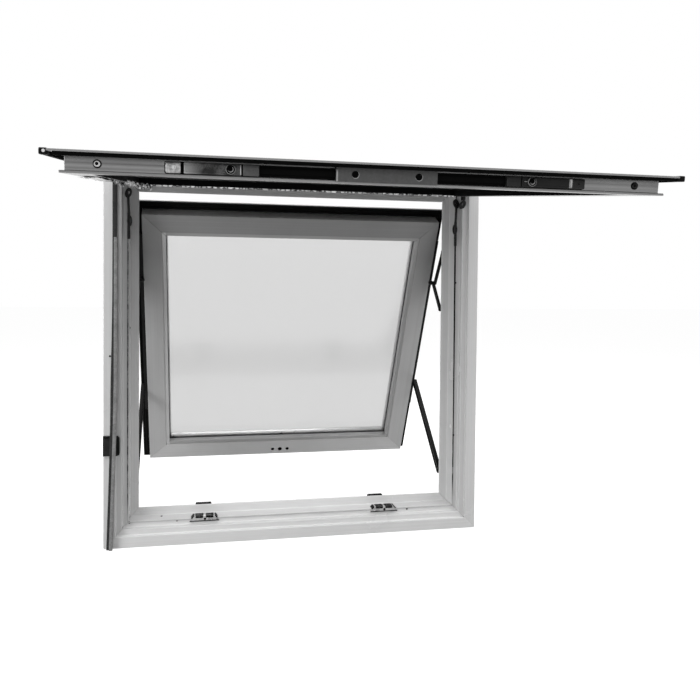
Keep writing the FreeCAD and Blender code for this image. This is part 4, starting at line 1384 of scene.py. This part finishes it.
@dataclass
class Studio:
    """Pale floor, soft lamps, white surroundings and the camera at the photograph's angle."""

    eye: Spot = (-240.852, -1757.725, 601.808)
    yaw: float = 0.19904
    pitch: float = -0.02708
    roll: float = 0.00911
    focal_pixels: float = 719.223
    centre: Span = (342.2, 307.988)
    image: float = 700.0
    sensor: float = 36.0
    ambient: float = 0.2
    floor_tone: str = "#9a9a9a"
    floor_roughness: float = 0.9
    floor_lift: float = 0.92
    floor_size: float = 40.0
    floor_level: float = -0.5
    lamps: tuple[Lamp, ...] = (
        Lamp("low_left_window", (-2600.0, -2200.0, 600.0), 1.4, 33.0),
        Lamp("high_left_window", (-2400.0, -1200.0, 2200.0), 1.6, 44.0),
        Lamp("high_right_window", (2400.0, -1200.0, 2200.0), 1.6, 50.0),
        Lamp("room_ceiling", (0.0, -3500.0, 2200.0), 2.0, 14.0),
        Lamp("skylight", (0.0, -600.0, 2800.0), 2.2, 22.0),
        Lamp("outer_sky", (0.0, 2500.0, 2200.0), 2.0, 60.0),
    )

    def build(self) -> None:
        """Sets up the whole studio."""
        bpy.context.scene.view_settings.view_transform = "Standard"
        self.add_camera()
        self.add_world()
        self.add_floor()
        for lamp in self.lamps:
            lamp.hang()

    def add_camera(self) -> None:
        """Places the camera from the yaw, pitch and roll that the photograph gave."""
        ahead = Vector((math.sin(self.yaw) * math.cos(self.pitch), math.cos(self.yaw) * math.cos(self.pitch),
                        math.sin(self.pitch)))
        level = Vector((math.cos(self.yaw), -math.sin(self.yaw), 0.0))
        above = level.cross(ahead)
        right = level * math.cos(self.roll) + above * math.sin(self.roll)
        upward = above * math.cos(self.roll) - level * math.sin(self.roll)
        lens = bpy.data.cameras.new("photograph_angle")
        lens.sensor_width = self.sensor
        lens.lens = self.focal_pixels / self.image * self.sensor
        lens.shift_x = (self.image / 2 - self.centre[0]) / self.image
        lens.shift_y = (self.centre[1] - self.image / 2) / self.image
        camera = bpy.data.objects.new("photograph_angle", lens)
        turn = Matrix((right, upward, -ahead)).transposed().to_4x4()
        camera.matrix_world = Matrix.Translation(Vector(self.eye) * MM) @ turn
        bpy.context.scene.collection.objects.link(camera)
        bpy.context.scene.camera = camera

    def seen_rays(self, tree: Tree) -> tuple[Socket, Socket]:
        """Adds the test for rays by which the eye sees a surface, straight, mirrored or through glass.

        Args:
            tree: The node tree.

        Returns:
            A socket that is 1 for such rays, and one that is 1 for rays through glass alone.
        """
        path = add_node(tree, "ShaderNodeLightPath", {}).outputs
        through = path["Is Transmission Ray"]
        mirrored = combine(tree, path["Is Glossy Ray"], through, "MAXIMUM")
        return combine(tree, path["Is Camera Ray"], mirrored, "MAXIMUM"), through

    def add_world(self) -> None:
        """Makes the surroundings white to the eye and in reflections, and a soft light on the object."""
        world = bpy.data.worlds.new("white_room")
        world.use_nodes = True
        bpy.context.scene.world = world
        tree = world.node_tree
        tree.nodes.clear()
        soft, white = [add_node(tree, "ShaderNodeBackground", {"Color": WHITE, "Strength": power}).outputs[0]
                       for power in (self.ambient, 1.0)]
        both = add_node(tree, "ShaderNodeMixShader", {0: self.seen_rays(tree)[0], 1: soft, 2: white})
        add_node(tree, "ShaderNodeOutputWorld", {"Surface": both.outputs[0]})

    def add_floor(self) -> None:
        """Lays a pale floor that keeps the object's shadow and reads as white beside it."""
        clear_selection()
        bpy.ops.mesh.primitive_plane_add(size=self.floor_size, location=(0.0, 0.0, self.floor_level * MM))
        floor = bpy.context.object
        floor.name = "pale_floor"
        paint = bpy.data.materials.new("matt_white_floor_paint")
        paint.use_nodes = True
        tree = paint.node_tree
        shader = tree.nodes["Principled BSDF"]
        values = {"Base Color": linear(self.floor_tone), "Roughness": self.floor_roughness,
                  "Specular IOR Level": 0.0, "Emission Color": WHITE}
        for key, value in values.items():
            shader.inputs[key].default_value = value
        seen, through = self.seen_rays(tree)
        tree.links.new(combine(tree, seen, self.floor_lift, "MULTIPLY"), shader.inputs["Emission Strength"])
        # Through the pane the floor is as white as the surroundings, so that no horizon shows in the glass.
        plain = add_node(tree, "ShaderNodeEmission", {"Color": WHITE, "Strength": 1.0}).outputs[0]
        both = add_node(tree, "ShaderNodeMixShader", {0: through, 1: shader.outputs[0], 2: plain}).outputs[0]
        tree.links.new(both, tree.nodes["Material Output"].inputs["Surface"])
        floor.data.materials.append(paint)


def main() -> None:
    """Builds the window's sub-assemblies in order, then the studio."""
    logging.basicConfig(level=logging.INFO, format="%(name)s %(message)s")
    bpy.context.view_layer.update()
    for assembly in (OuterFrame(), GlassSash(), FrictionStays(), ScreenSash(), LockGear(), Studio()):
        assembly.build()


if __name__ == "__main__":
    main()
